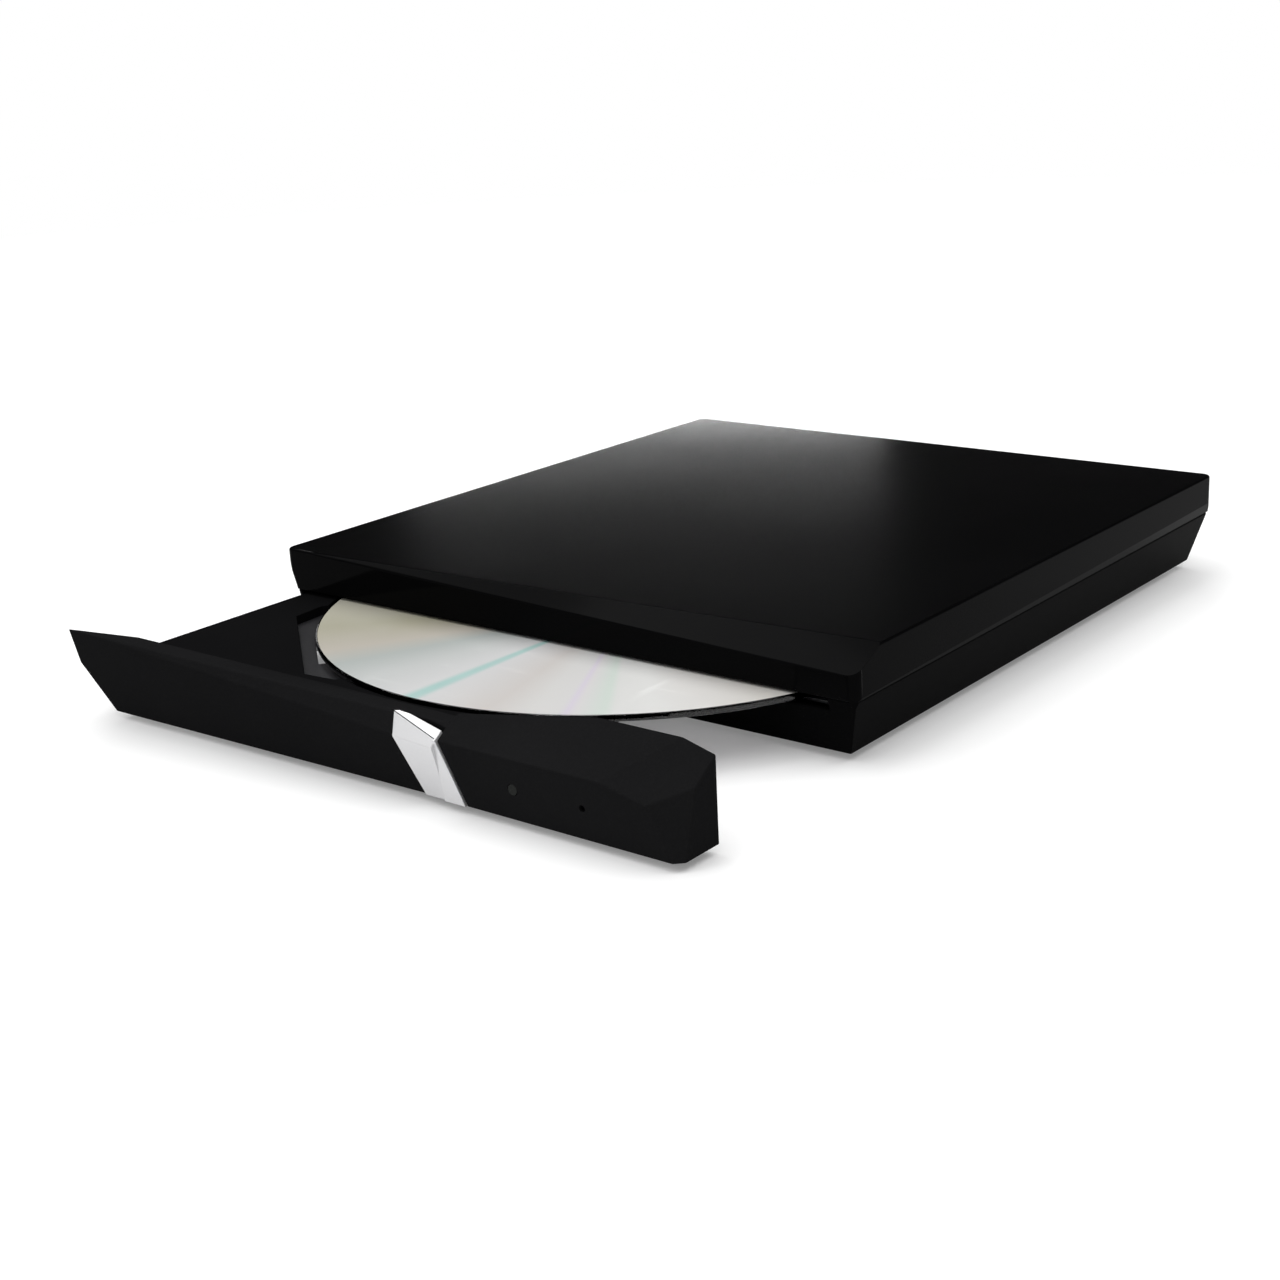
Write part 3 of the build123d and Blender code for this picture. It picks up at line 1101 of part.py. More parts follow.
def lens_top_low():
    """Underside of the lens holder."""
    return LENS_TOP_Z - LENS_THICKNESS / 2 - HOLDER_HEIGHT


def lens_holder():
    """Holder that floats in the sled's well and focuses the lens."""
    low = lens_top_low()
    body = block(-HOLDER_WIDTH / 2, HOLDER_WIDTH / 2, -LENS_START - HOLDER_DEPTH / 2,
                 -LENS_START + HOLDER_DEPTH / 2, low, low + HOLDER_HEIGHT)
    return on_mech(body - upright(0, -LENS_START, low, low + HOLDER_HEIGHT, LENS_RADIUS))


def objective_lens():
    """Lens in its holder, crowned on top."""
    low = lens_top_low() + HOLDER_HEIGHT - LENS_THICKNESS / 2
    lens = upright(0, -LENS_START, low, LENS_TOP_Z, LENS_RADIUS)
    return on_mech(chamfer(lens.edges().sort_by(Axis.Z)[-1], LENS_THICKNESS / 3))


def sled_nut():
    """Nut on the sled's side that the lead screw runs through."""
    outer = LEAD_RADIUS + NUT_WALL
    near = SLED_INNER - LENS_START
    low = PLATE_Z + PLATE_THICKNESS + 2 * ROD_FIT
    nut = block(SLED_HALF, SCREW_X + outer, near - NUT_LENGTH, near, low, 2 * ROD_Z - low)
    bore = along_y(SCREW_X, ROD_Z, near - 2 * NUT_LENGTH, near + OVERRUN, LEAD_RADIUS + 2 * ROD_FIT)
    return on_mech(nut - bore)


# Boards and lock under the tray's deck

def tray_board():
    """Main board under the tray's rear part."""
    return block(*TRAY_BOARD, TRAY_BOARD_Z, TRAY_BOARD_Z + BOARD_THICKNESS)


def tray_chips():
    """Chips on the underside of the tray's board."""
    x0, _, y0, y1 = TRAY_BOARD
    low = TRAY_BOARD_Z - CHIP_HEIGHT
    chips = []
    y = (y0 + y1) / 2
    for place, size in TRAY_CHIPS:
        x = x0 + place
        chips.append(block(x - size / 2, x + size / 2, y - size / 2, y + size / 2, low, TRAY_BOARD_Z))
    return Compound(chips)


def lever_z():
    """Underside of the lock lever, just under its pivot's shoulder."""
    return PAN_TOP_Z + LOCK_PIN_HEIGHT - LOCK_GAP / 2 - LEVER_THICKNESS


def lock_lever():
    """Lever with a hook that holds the striker pin while the tray is closed."""
    z0 = lever_z()
    z1 = z0 + LEVER_THICKNESS
    half = LEVER_WIDTH / 2
    inner = LOCK_PIN_X + LOCK_PIN_RADIUS + LOCK_GAP
    hook_y = LOCK_PIN_Y + LOCK_PIN_RADIUS + LOCK_GAP
    arm = [(LEVER_PIVOT_X - half, LEVER_PIVOT_Y, z0), (LEVER_PIVOT_X + half, LEVER_PIVOT_Y, z0),
           (inner + LEVER_WIDTH, LOCK_PIN_Y, z0), (inner + LEVER_WIDTH, hook_y + half, z0),
           (LOCK_PIN_X - LOCK_PIN_RADIUS, hook_y + half, z0), (LOCK_PIN_X - LOCK_PIN_RADIUS, hook_y, z0),
           (inner, hook_y, z0), (inner, LOCK_PIN_Y - LEVER_HOOK, z0)]
    body = prism(arm, (0, 0, 1), z1 - z0)
    body += upright(LEVER_PIVOT_X, LEVER_PIVOT_Y, z0, z1, LEVER_HUB_RADIUS)
    return body - upright(LEVER_PIVOT_X, LEVER_PIVOT_Y, z0, z1, PIVOT_RADIUS + SHAFT_FIT)


def lock_solenoid():
    """Small solenoid that pulls the lever free."""
    top = RECESS_Z - DECK_THICKNESS
    x0, x1, y0, y1 = SOLENOID
    frame = block(x0, x1, y0, y1, top - SOLENOID_HEIGHT, top)
    ends_y = (y0 + 2 * SOLENOID_WALL, y1 - 2 * SOLENOID_WALL)
    return frame - block(x0 + SOLENOID_WALL, x1 - SOLENOID_WALL, *ends_y,
                         top - SOLENOID_HEIGHT, top - SOLENOID_HEIGHT / 2)


def case_pieces():
    """Nodes of the case."""
    shell = case_shell()
    return {
        "top_cover": top_cover(shell),
        "bottom_cover": bottom_cover(shell),
        "rubber_feet": rubber_feet(),
        "case_screws": case_screws(),
        "mech_screws": mech_screws(),
        "drive_pan": drive_pan(),
        "drive_cover": drive_cover(),
        "cover_screws": cover_screws(),
        "left_guide": guide(LEFT_WALL_X, 1),
        "right_guide": guide(STEP_WALL_X, -1),
        "striker_pin": striker_pin(),
        "flex_cable": flex_cable(),
        "bridge_board": bridge_board(),
        "bridge_chips": bridge_chips(),
        "sata_connector": sata_connector(),
        "usb_shell": usb_shell(),
        "usb_tongue": usb_tongue(),
    }


def slide_pieces():
    """Nodes of the two slides, which travel half as far as the tray."""
    return {"left_slide": slide(LEFT_WALL_X, 1), "right_slide": slide(STEP_WALL_X, -1)}


def tray_pieces():
    """Nodes that travel with the tray."""
    pieces = {
        "tray": tray(),
        "front_bezel": front_bezel(),
        "eject_button": eject_button(),
        "button_board": button_board(),
        "eject_switch": eject_switch(),
        "lamp_led": lamp_led(),
        "lamp_pipe": lamp_pipe(),
        "tray_board": tray_board(),
        "tray_chips": tray_chips(),
        "lock_lever": lock_lever(),
        "lock_solenoid": lock_solenoid(),
        "traverse_frame": traverse_frame(),
        "dampers": dampers(),
        "damper_screws": damper_screws(),
        "mech_cover": mech_cover(),
        "spindle_motor": spindle_motor(),
        "turntable": turntable(),
        "turntable_ring": turntable_ring(),
        "disc": disc(),
        "guide_rods": guide_rods(),
        "stepper_motor": stepper_motor(),
        "lead_screw": lead_screw(),
        "sled_body": sled_body(),
        "sled_nut": sled_nut(),
        "lens_holder": lens_holder(),
        "objective_lens": objective_lens(),
    }
    for index, angle in enumerate(claw_angles()):
        pieces[f"hub_claw_{index + 1}"] = hub_claw(angle)
    return pieces


def write_parts():
    """Writes each node at its rest place in the drive's own frame."""
    os.makedirs("parts", exist_ok=True)
    groups = ((case_pieces(), 0.0), (slide_pieces(), REST_TRAVEL / 2), (tray_pieces(), REST_TRAVEL))
    for pieces, travel in groups:
        place = Pos(-ORIGIN[0], -ORIGIN[1] - travel, -ORIGIN[2])
        for name, solid in pieces.items():
            export_step(place * solid, f"parts/{name}.step")


if __name__ == "__main__":
    write_parts()
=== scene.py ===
"""Looks of a slim external disc drive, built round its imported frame.

The case, the tray's front, the tray and the mechanism keep the frame's shapes, with softened outer
edges. The disc, the feet, the lens, the windings and the small parts are new surfaces, worked out
from the frame's boxes. All lengths are in metres, and +Y points to the drive's rear.
"""
from __future__ import annotations

import json
import logging
import math
from dataclasses import dataclass, field
from enum import Enum

import bmesh
import bpy
import numpy as np
from mathutils import Matrix, Vector

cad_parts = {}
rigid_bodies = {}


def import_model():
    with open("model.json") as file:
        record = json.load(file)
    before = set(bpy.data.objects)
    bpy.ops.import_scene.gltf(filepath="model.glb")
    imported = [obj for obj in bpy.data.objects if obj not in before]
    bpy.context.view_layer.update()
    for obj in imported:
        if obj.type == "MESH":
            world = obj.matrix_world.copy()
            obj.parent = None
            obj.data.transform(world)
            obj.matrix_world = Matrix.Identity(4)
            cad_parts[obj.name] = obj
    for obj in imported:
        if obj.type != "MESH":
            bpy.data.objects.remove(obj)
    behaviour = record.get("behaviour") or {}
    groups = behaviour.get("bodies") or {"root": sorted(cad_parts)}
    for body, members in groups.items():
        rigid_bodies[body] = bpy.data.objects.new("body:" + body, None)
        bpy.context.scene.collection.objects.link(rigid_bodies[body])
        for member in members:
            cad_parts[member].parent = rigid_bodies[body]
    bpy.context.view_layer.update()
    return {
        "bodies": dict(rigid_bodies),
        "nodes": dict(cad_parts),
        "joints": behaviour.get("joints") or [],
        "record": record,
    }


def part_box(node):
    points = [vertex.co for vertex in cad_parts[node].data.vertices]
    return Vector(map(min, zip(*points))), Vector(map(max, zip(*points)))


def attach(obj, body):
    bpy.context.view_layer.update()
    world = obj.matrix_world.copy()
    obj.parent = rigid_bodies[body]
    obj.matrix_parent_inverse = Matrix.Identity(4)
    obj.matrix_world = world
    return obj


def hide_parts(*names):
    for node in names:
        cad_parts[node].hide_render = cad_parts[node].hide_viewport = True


MM = 0.001
SHARP_ANGLE = math.radians(32)  # past this, an edge of a new surface is sharp
FACET_ANGLE = math.radians(11)  # the same for the frame's shapes, whose fillets have small steps
FLAT_ANGLE = math.radians(0.6)  # faces of a frame's shape within this are made one
SLED_ANGLE = -40.0  # turn of the mechanism plate in the tray, in degrees
WELD = 0.002 * MM  # vertices of a new surface nearer than this are merged
NODE_WELD = 0.001 * MM  # the same in a frame's shape
LONG_EDGE = 6  # an edge of a frame's shape is softened if it is longer than this many of its widths
END_STEPS = 4  # points of a block's quarter rounds
NOISE_ROUGHNESS = 0.55
COAT_ROUGHNESS = 0.05
SMUDGE_SCALE = 28.0
GRAIN_LIFT = 0.4  # how far grain lifts a finish's colour to its second tone
SMUDGE_LIFT = 0.5  # the same for smudges
# Half a screw head's section: shares of its radius, and of its height down from its seat
SCREW_SECTION = ((0.0, 0.45), (0.36, 0.45), (0.46, 1.0), (0.72, 1.0), (0.93, 0.82), (1.0, 0.5), (1.0, 0.0),
                 (0.0, 0.0))
LOG = logging.getLogger("disc_drive")

Color = tuple[float, float, float]
Point = tuple[float, float, float]
Plan = tuple[float, float, float, float]  # x and y of two corners, in millimetres
Socket = bpy.types.NodeSocket
Sockets = bpy.types.bpy_prop_collection  # a node's outputs, read by name


class Pattern(Enum):
    """Surface effects that materials share."""

    GRAIN = "moulded_grain"
    HAIRLINES = "hairline_wear"
    BRUSHED = "brushed_lines"
    SMUDGES = "handling_smudges"


class NodeTree:
    """Places and links nodes in a material's, world's or group's tree."""

    def __init__(self, tree: bpy.types.NodeTree) -> None:
        """Starts with an empty tree.

        Args:
            tree: The tree to fill.
        """
        self.tree = tree
        self.tree.nodes.clear()

    @staticmethod
    def surface(name: str, **values: object) -> tuple[bpy.types.Material, NodeTree, bpy.types.Node]:
        """Makes a material with a Principled shader.

        Args:
            name: The material's name.
            values: Values of the shader's inputs.

        Returns:
            The material, its tree and the shader.
        """
        material = bpy.data.materials.new(name)
        material.use_nodes = True
        nodes = NodeTree(material.node_tree)
        shader = nodes.add("ShaderNodeBsdfPrincipled", **values)
        nodes.add("ShaderNodeOutputMaterial", Surface=shader.outputs["BSDF"])
        return material, nodes, shader

    def feed(self, target: Socket, value: object) -> None:
        """Links a socket to an input, or sets the input's own value.

        Args:
            target: The input.
            value: A socket, a number or a tuple; a colour may leave out its alpha.
        """
        if isinstance(value, Socket):
            self.tree.links.new(value, target)
        elif target.type == "RGBA" and len(value) == 3:
            target.default_value = (*value, 1.0)
        else:
            target.default_value = value

    def add(self, kind: str, **values: object) -> bpy.types.Node:
        """Adds a node.

        Args:
            kind: The node's type name.
            values: Attributes of the node, or values and sockets for its inputs by their names.

        Returns:
            The new node.
        """
        node = self.tree.nodes.new(kind)
        for name, value in values.items():
            if hasattr(node, name):
                setattr(node, name, value)
            else:
                self.feed(node.inputs[name.replace("_", " ")], value)
        return node

    def math(self, operation: str, first: object, second: object = 0.0) -> Socket:
        """Adds a Math node.

        Args:
            operation: The node's operation.
            first: A socket or a number.
            second: A socket or a number.

        Returns:
            The node's output socket.
        """
        node = self.add("ShaderNodeMath", operation=operation)
        self.feed(node.inputs[0], first)
        self.feed(node.inputs[1], second)
        return node.outputs[0]

    def clamped(self, value: Socket, low: float = 0.0) -> Socket:
        """A value kept between a lower limit and 1."""
        return self.math("MINIMUM", self.math("MAXIMUM", value, low), 1.0)

    def ramp(self, factor: Socket, stops: list[tuple[float, Color]]) -> Socket:
        """Adds a colour ramp.

        Args:
            factor: What the ramp reads.
            stops: Positions and colours.

        Returns:
            The ramp's colour socket.
        """
        node = self.add("ShaderNodeValToRGB", Fac=factor)
        elements = node.color_ramp.elements
        while len(elements) < len(stops):
            elements.new(0.5)
        for element, (position, color) in zip(elements, stops):
            element.position = position
            element.color = (*color, 1.0)
        return node.outputs["Color"]

    def mix(self, factor: object, first: object, second: object) -> Socket:
        """Adds a colour mix.

        Args:
            factor: A socket or a number.
            first: A colour or a socket, shown where factor is 0.
            second: A colour or a socket, shown where factor is 1.

        Returns:
            The mixed colour's socket.
        """
        node = self.add("ShaderNodeMix", data_type="RGBA")
        for index, value in ((0, factor), (6, first), (7, second)):
            self.feed(node.inputs[index], value)
        return node.outputs[2]

    def layered(self, kind: str, *sources: Socket) -> Socket:
        """Joins shaders in an Add or Mix Shader node, whose inputs take the sources in order."""
        node = self.add(kind)
        for target, source in zip(node.inputs, sources):
            self.feed(target, source)
        return node.outputs["Shader"]


class Effects:
    """Node groups of the surface effects, each built once."""

    def __init__(self) -> None:
        """Builds the groups."""
        self.groups = {pattern: self._build(pattern) for pattern in Pattern}

    def _build(self, pattern: Pattern) -> bpy.types.NodeTree:
        """Makes one group with its named sockets.

        Args:
            pattern: The effect to build.

        Returns:
            The group's tree.
        """
        amount, fill = {
            Pattern.GRAIN: ("Depth", self._grain),
            Pattern.HAIRLINES: ("Amount", self._hairlines),
            Pattern.BRUSHED: ("Depth", self._brushed),
            Pattern.SMUDGES: ("Amount", self._smudges),
        }[pattern]
        group = bpy.data.node_groups.new(pattern.value, "ShaderNodeTree")
        group.interface.new_socket("Vector", in_out="INPUT", socket_type="NodeSocketVector")
        for name, side in (("Scale", "INPUT"), (amount, "INPUT"), ("Mask", "OUTPUT"), ("Height", "OUTPUT")):
            group.interface.new_socket(name, in_out=side, socket_type="NodeSocketFloat")
        nodes = NodeTree(group)
        mask, height = fill(nodes, nodes.add("NodeGroupInput").outputs)
        nodes.add("NodeGroupOutput", Mask=mask, Height=height)
        return group

    @staticmethod
    def _noise(nodes: NodeTree, vector: Socket, scale: object, detail: float,
               stretch: Point = (1.0, 1.0, 1.0)) -> Socket:
        """Adds noise on stretched coordinates.

        Args:
            nodes: The tree.
            vector: Coordinates.
            scale: A socket or a number.
            detail: Octaves of the noise.
            stretch: Factors of the coordinates, small along what the noise should run.

        Returns:
            The noise's factor.
        """
        mapped = nodes.add("ShaderNodeMapping", Scale=stretch, Vector=vector).outputs["Vector"]
        noise = nodes.add("ShaderNodeTexNoise", Detail=detail, Roughness=NOISE_ROUGHNESS, Vector=mapped,
                          Scale=scale)
        return noise.outputs["Fac"]

    def _grain(self, nodes: NodeTree, given: Sockets, cell_share: float = 0.7,
               fine_share: float = 0.3) -> tuple[Socket, Socket]:
        """Pebbled grain of a moulded surface: rounded cells broken up by fine noise."""
        vector, scale = given["Vector"], given["Scale"]
        cells = nodes.add("ShaderNodeTexVoronoi", feature="SMOOTH_F1", Smoothness=0.6, Vector=vector,
                          Scale=scale)
        fine = self._noise(nodes, vector, scale, 3.0)
        blend = nodes.math("ADD", nodes.math("MULTIPLY", cells.outputs["Distance"], cell_share),
                           nodes.math("MULTIPLY", fine, fine_share))
        return blend, nodes.math("MULTIPLY", blend, given["Depth"])

    def _hairlines(self, nodes: NodeTree, given: Sockets, peak: float = 0.70,
                   patch_scale: float = 40.0, patch_peak: float = 0.5) -> tuple[Socket, Socket]:
        """Fine scratches two ways: peaks of noise that is stretched along each of them, in patches."""
        vector, scale = given["Vector"], given["Scale"]
        ways = [nodes.math("GREATER_THAN", self._noise(nodes, vector, scale, 1.0, stretch), peak)
                for stretch in ((1.0, 0.03, 0.03), (0.05, 1.0, 0.05))]
        patches = nodes.math("GREATER_THAN", self._noise(nodes, vector, patch_scale, 2.0), patch_peak)
        kept = nodes.math("MULTIPLY", nodes.math("MAXIMUM", *ways), patches)
        mask = nodes.math("MULTIPLY", kept, given["Amount"])
        return mask, nodes.math("MULTIPLY", mask, -1.0)

    def _brushed(self, nodes: NodeTree, given: Sockets) -> tuple[Socket, Socket]:
        """Rolled sheet's lines: noise stretched along Y."""
        lines = self._noise(nodes, given["Vector"], given["Scale"], 3.0, (1.0, 0.015, 1.0))
        return lines, nodes.math("MULTIPLY", lines, given["Depth"])

    def _smudges(self, nodes: NodeTree, given: Sockets, start: float = 0.42,
                 gain: float = 3.0) -> tuple[Socket, Socket]:
        """Soft uneven patches, as handling leaves them."""
        broad = self._noise(nodes, given["Vector"], given["Scale"], 4.0)
        spread = nodes.math("MULTIPLY", nodes.math("SUBTRACT", broad, start), gain)
        mask = nodes.math("MULTIPLY", nodes.clamped(spread), given["Amount"])
        return mask, mask

    def place(self, nodes: NodeTree, pattern: Pattern, vector: Socket, scale: float,
              amount: float) -> Sockets:
        """Places an effect in a material.

        Args:
            nodes: The material's tree.
            pattern: Which effect.
            vector: Coordinates.
            scale: The effect's scale.
            amount: Its depth or amount.

        Returns:
            The group's outputs, Mask and Height.
        """
        node = nodes.add("ShaderNodeGroup", node_tree=self.groups[pattern], Vector=vector, Scale=scale)
        node.inputs[2].default_value = amount
        return node.outputs


@dataclass(frozen=True)
class Finish:
    """A material: a base colour, its second tone, and the surface effects over it."""

    name: str
    color: Color
    tone: Color
    roughness: float
    rough_spread: float = 0.08
    metallic: float = 0.0
    specular: float = 0.5
    coat: float = 0.0
    grain: float = 3500.0
    depth: float = 0.2
    bump: float = 0.00004
    pattern: Pattern = Pattern.GRAIN
    smudge: float = 0.35

    def build(self, effects: Effects) -> bpy.types.Material:
        """Makes the material.

        Args:
            effects: The shared node groups.

        Returns:
            The material.
        """
        material, nodes, shader = NodeTree.surface(
            self.name, Metallic=self.metallic, Specular_IOR_Level=self.specular, Coat_Weight=self.coat,
            Coat_Roughness=COAT_ROUGHNESS)
        vector = nodes.add("ShaderNodeTexCoord").outputs["Object"]
        surface = effects.place(nodes, self.pattern, vector, self.grain, self.depth)
        smudges = effects.place(nodes, Pattern.SMUDGES, vector, SMUDGE_SCALE, self.smudge)
        lift = nodes.math("ADD", nodes.math("MULTIPLY", surface["Mask"], GRAIN_LIFT),
                          nodes.math("MULTIPLY", smudges["Mask"], SMUDGE_LIFT))
        nodes.feed(shader.inputs["Base Color"], nodes.mix(lift, self.color, self.tone))
        spread = nodes.math("MULTIPLY", surface["Mask"], self.rough_spread)
        rough = nodes.math("ADD", nodes.math("ADD", spread, self.roughness - self.rough_spread / 2),
                           nodes.math("MULTIPLY", smudges["Mask"], self.rough_spread))
        nodes.feed(shader.inputs["Roughness"], rough)
        bump = nodes.add("ShaderNodeBump", Strength=1.0, Distance=self.bump, Height=surface["Height"])
        nodes.feed(shader.inputs["Normal"], bump.outputs["Normal"])
        return material


@dataclass(frozen=True)
class ClearFinish:
    """Clear plastic or glass, with fine hairlines in its roughness."""

    name: str
    color: Color
    roughness: float = 0.04
    ior: float = 1.49
    line_scale: float = 900.0
    wear: float = 0.12

    def build(self, effects: Effects) -> bpy.types.Material:
        """Makes the material.

        Args:
            effects: The shared node groups.

        Returns:
            The material.
        """
        material, nodes, shader = NodeTree.surface(self.name, Transmission_Weight=1.0, IOR=self.ior)
        vector = nodes.add("ShaderNodeTexCoord").outputs["Object"]
        lines = effects.place(nodes, Pattern.HAIRLINES, vector, self.line_scale, self.wear)
        nodes.feed(shader.inputs["Base Color"], nodes.mix(lines["Mask"], self.color, (1.0, 1.0, 1.0)))
        nodes.feed(shader.inputs["Roughness"], nodes.math("ADD", lines["Mask"], self.roughness))
        return material


@dataclass(frozen=True)
class DiscFinish:
    """Silver face of the disc, with painted highlights, painted shade and painted rainbow reflections: colours
    that turn with the angle round its middle.
    """

    name: str
    centre: Point
    metallic: float = 0.12
    roughness: float = 0.3
    shade: float = 1.0
    line_scale: float = 1400.0
    wear: float = 0.15
    smudge_scale: float = 30.0
    smudge: float = 0.25
    smudge_rough: float = 0.1
    coat: float = 0.4
    coat_roughness: float = 0.08
    dusk: Color = (0.20, 0.14, 0.30)
    worn: Color = (0.74, 0.75, 0.76)

    def build(self, effects: Effects) -> bpy.types.Material:
        """Makes the material.

        Args:
            effects: The shared node groups.

        Returns:
            The material.
        """
        material, nodes, shader = NodeTree.surface(self.name, Metallic=self.metallic, Coat_Weight=self.coat,
                                                   Coat_Roughness=self.coat_roughness)
        vector = nodes.add("ShaderNodeTexCoord").outputs["Object"]
        centred = nodes.add("ShaderNodeMapping", vector_type="POINT", Vector=vector,
                            Location=tuple(-c for c in self.centre))
        split = nodes.add("ShaderNodeSeparateXYZ", Vector=centred.outputs["Vector"])
        angle = nodes.math("ARCTAN2", split.outputs["Y"], split.outputs["X"])
        turn = nodes.math("FRACT", nodes.math("ADD", nodes.math("DIVIDE", angle, math.pi), 1.0))
        smudges = effects.place(nodes, Pattern.SMUDGES, vector, self.smudge_scale, self.smudge)
        # the ramp paints highlights, shade and rainbow reflections by angle; the smudges mixed over it are real
        painted_sheen_and_smudges = nodes.mix(smudges["Mask"], nodes.ramp(turn, self.stops()), self.worn)
        nodes.feed(shader.inputs["Base Color"], nodes.mix(1.0 - self.shade, painted_sheen_and_smudges, self.dusk))
        lines = effects.place(nodes, Pattern.HAIRLINES, vector, self.line_scale, self.wear)
        rough = nodes.math("ADD", nodes.math("ADD", lines["Mask"], self.roughness),
                           nodes.math("MULTIPLY", smudges["Mask"], self.smudge_rough))
        nodes.feed(shader.inputs["Roughness"], rough)
        return material

    @staticmethod
    def stops() -> list[tuple[float, Color]]:
        """Painted highlights, shade and rainbow reflections round the disc, as shares of half a turn from -X,
        because the disc's light rays go through its middle.
        """
        teal, violet, green = (0.46, 0.70, 0.66), (0.80, 0.74, 0.84), (0.74, 0.83, 0.76)
        silver, pale = (0.78, 0.78, 0.78), (0.80, 0.80, 0.79)
        return [(0.0, pale), (0.12, (0.64, 0.62, 0.53)), (0.232, (0.50, 0.48, 0.36)),
                (0.316, (0.62, 0.58, 0.51)), (0.364, (0.54, 0.58, 0.56)), (0.42, (0.68, 0.70, 0.69)),
                (0.486, silver), (0.494, teal), (0.502, teal), (0.510, silver), (0.582, (0.73, 0.69, 0.66)),
                (0.622, (0.80, 0.79, 0.77)), (0.650, (0.81, 0.80, 0.79)), (0.656, violet),
                (0.664, (0.82, 0.80, 0.80)), (0.690, green), (0.70, (0.85, 0.85, 0.83)),
                (0.736, (0.89, 0.89, 0.87)), (0.78, (0.85, 0.83, 0.80)), (0.84, (0.74, 0.71, 0.66)),
                (0.92, (0.78, 0.77, 0.75)), (1.0, pale)]


AnyFinish = Finish | ClearFinish | DiscFinish


def squared_off(wave: np.ndarray, power: float) -> np.ndarray:
    """A sine or cosine with its size raised to a power, which squares a round section off."""
    return np.sign(wave) * np.abs(wave) ** power


@dataclass
class Form:
    """Vertices and faces of a shape, before it is a mesh."""

    vertices: np.ndarray
    faces: list[list[int]] = field(default_factory=list)

    def __add__(self, other: Form) -> Form:
        """Both shapes as one."""
        shift = len(self.vertices)
        more = [[index + shift for index in face] for face in other.faces]
        return Form(np.vstack([self.vertices, other.vertices]), self.faces + more)

    @staticmethod
    def joined(forms: list[Form]) -> Form:
        """All the shapes as one."""
        return sum(forms[1:], forms[0])

    def moved(self, offset: Point) -> Form:
        """The shape, moved."""
        return Form(self.vertices + np.array(offset), self.faces)

    def turned(self, degrees: float) -> Form:
        """The shape, turned round the Z axis."""
        angle = math.radians(degrees)
        cosine, sine = math.cos(angle), math.sin(angle)
        turn = np.array([[cosine, -sine, 0.0], [sine, cosine, 0.0], [0.0, 0.0, 1.0]])
        return Form(self.vertices @ turn.T, self.faces)

    def copies(self, offsets: np.ndarray) -> Form:
        """The shape, once at each offset."""
        count, steps = len(self.vertices), range(len(offsets))
        vertices = (self.vertices[None] + offsets[:, None]).reshape(-1, 3)
        faces = [[index + step * count for index in face] for step in steps for face in self.faces]
        return Form(vertices, faces)

    def across(self, places: list[float]) -> Form:
        """The shape, once at each place along X."""
        return self.copies(np.array([(x, 0.0, 0.0) for x in places]))

    def fanned(self, count: int) -> Form:
        """The shape, repeated at even steps round the Z axis."""
        return Form.joined([self.turned(360 / count * step) for step in range(count)])

    def flipped(self, height: float) -> Form:
        """The shape, turned upside down about a height."""
        vertices = self.vertices * (1.0, 1.0, -1.0) + (0.0, 0.0, 2 * height)
        return Form(vertices, [face[::-1] for face in self.faces])

    @staticmethod
    def carried(sections: np.ndarray, loop: bool = False) -> Form:
        """A skin over closed sections, each a row of points, joined from one row to the next.

        Args:
            sections: Points as an array of rows, points in a row, and x, y, z.
            loop: Whether the last row joins the first; otherwise both ends are closed.

        Returns:
            The shape.
        """
        rows, count = sections.shape[:2]
        steps = np.arange(rows if loop else rows - 1)
        along = np.arange(count)
        first = steps[:, None] * count + along
        second = ((steps + 1) % rows)[:, None] * count + along
        quads = np.stack([first, np.roll(first, -1, 1), np.roll(second, -1, 1), second], 2)
        faces = quads.reshape(-1, 4).tolist()
        if not loop:
            faces.append(along[::-1].tolist())
            faces.append((along + (rows - 1) * count).tolist())
        return Form(sections.reshape(-1, 3), faces)

    @staticmethod
    def revolved(profile: list[tuple[float, float]], centre: Point = (0.0, 0.0, 0.0),
                 segments: int = 64) -> Form:
        """A closed profile of radius and height, turned round an upright line through a centre.

        Args:
            profile: Radius and height of each corner, the inside on its left.
            centre: The point that heights count from.
            segments: Steps of the turn.

        Returns:
            The shape.
        """
        turn = np.linspace(0.0, 2 * math.pi, segments, endpoint=False)
        radius, height = np.array(profile).T
        ring = np.stack([np.outer(np.cos(turn), radius), np.outer(np.sin(turn), radius),
                         np.broadcast_to(height, (segments, len(height)))], 2)
        return Form.carried(ring + np.array(centre), loop=True)

    @staticmethod
    def block(low: Point, high: Point, corner: float, edge: float, points: int = 24) -> Form:
        """A block with rounded upright edges, and with a quarter round at its top and underside.

        Args:
            low: Its lowest corner.
            high: Its highest corner.
            corner: Radius of the upright edges.
            edge: Radius at its top and underside.
            points: Points round the section.

        Returns:
            The shape.
        """
        start, end = np.array(low), np.array(high)
        half, middle = (end - start) / 2, (end + start) / 2
        around = (np.arange(points) + 0.5) * 2 * math.pi / points
        unit = np.stack([np.cos(around), np.sin(around)], 1)
        sweep = np.linspace(0.0, math.pi / 2, END_STEPS)
        inset = np.concatenate([edge * (1 - np.sin(sweep)), edge * (1 - np.cos(sweep))])
        height = np.concatenate([start[2] + edge * (1 - np.cos(sweep)), end[2] - edge * (1 - np.sin(sweep))])
        radius = np.maximum(corner - inset, corner * 0.2)[:, None, None]
        plane = np.sign(unit) * (half[:2] - inset[:, None, None] - radius) + radius * unit
        return Form.carried(np.dstack([plane + middle[:2], np.broadcast_to(height[:, None], plane.shape[:2])]))

    @staticmethod
    def slab(plan: Plan, low: float, high: float, corner: float, edge: float, points: int = 24) -> Form:
        """A block over a plan, between two heights; the rest is as in block."""
        x0, y0, x1, y1 = (value * MM for value in plan)
        return Form.block((x0, y0, low), (x1, y1, high), corner, edge, points)

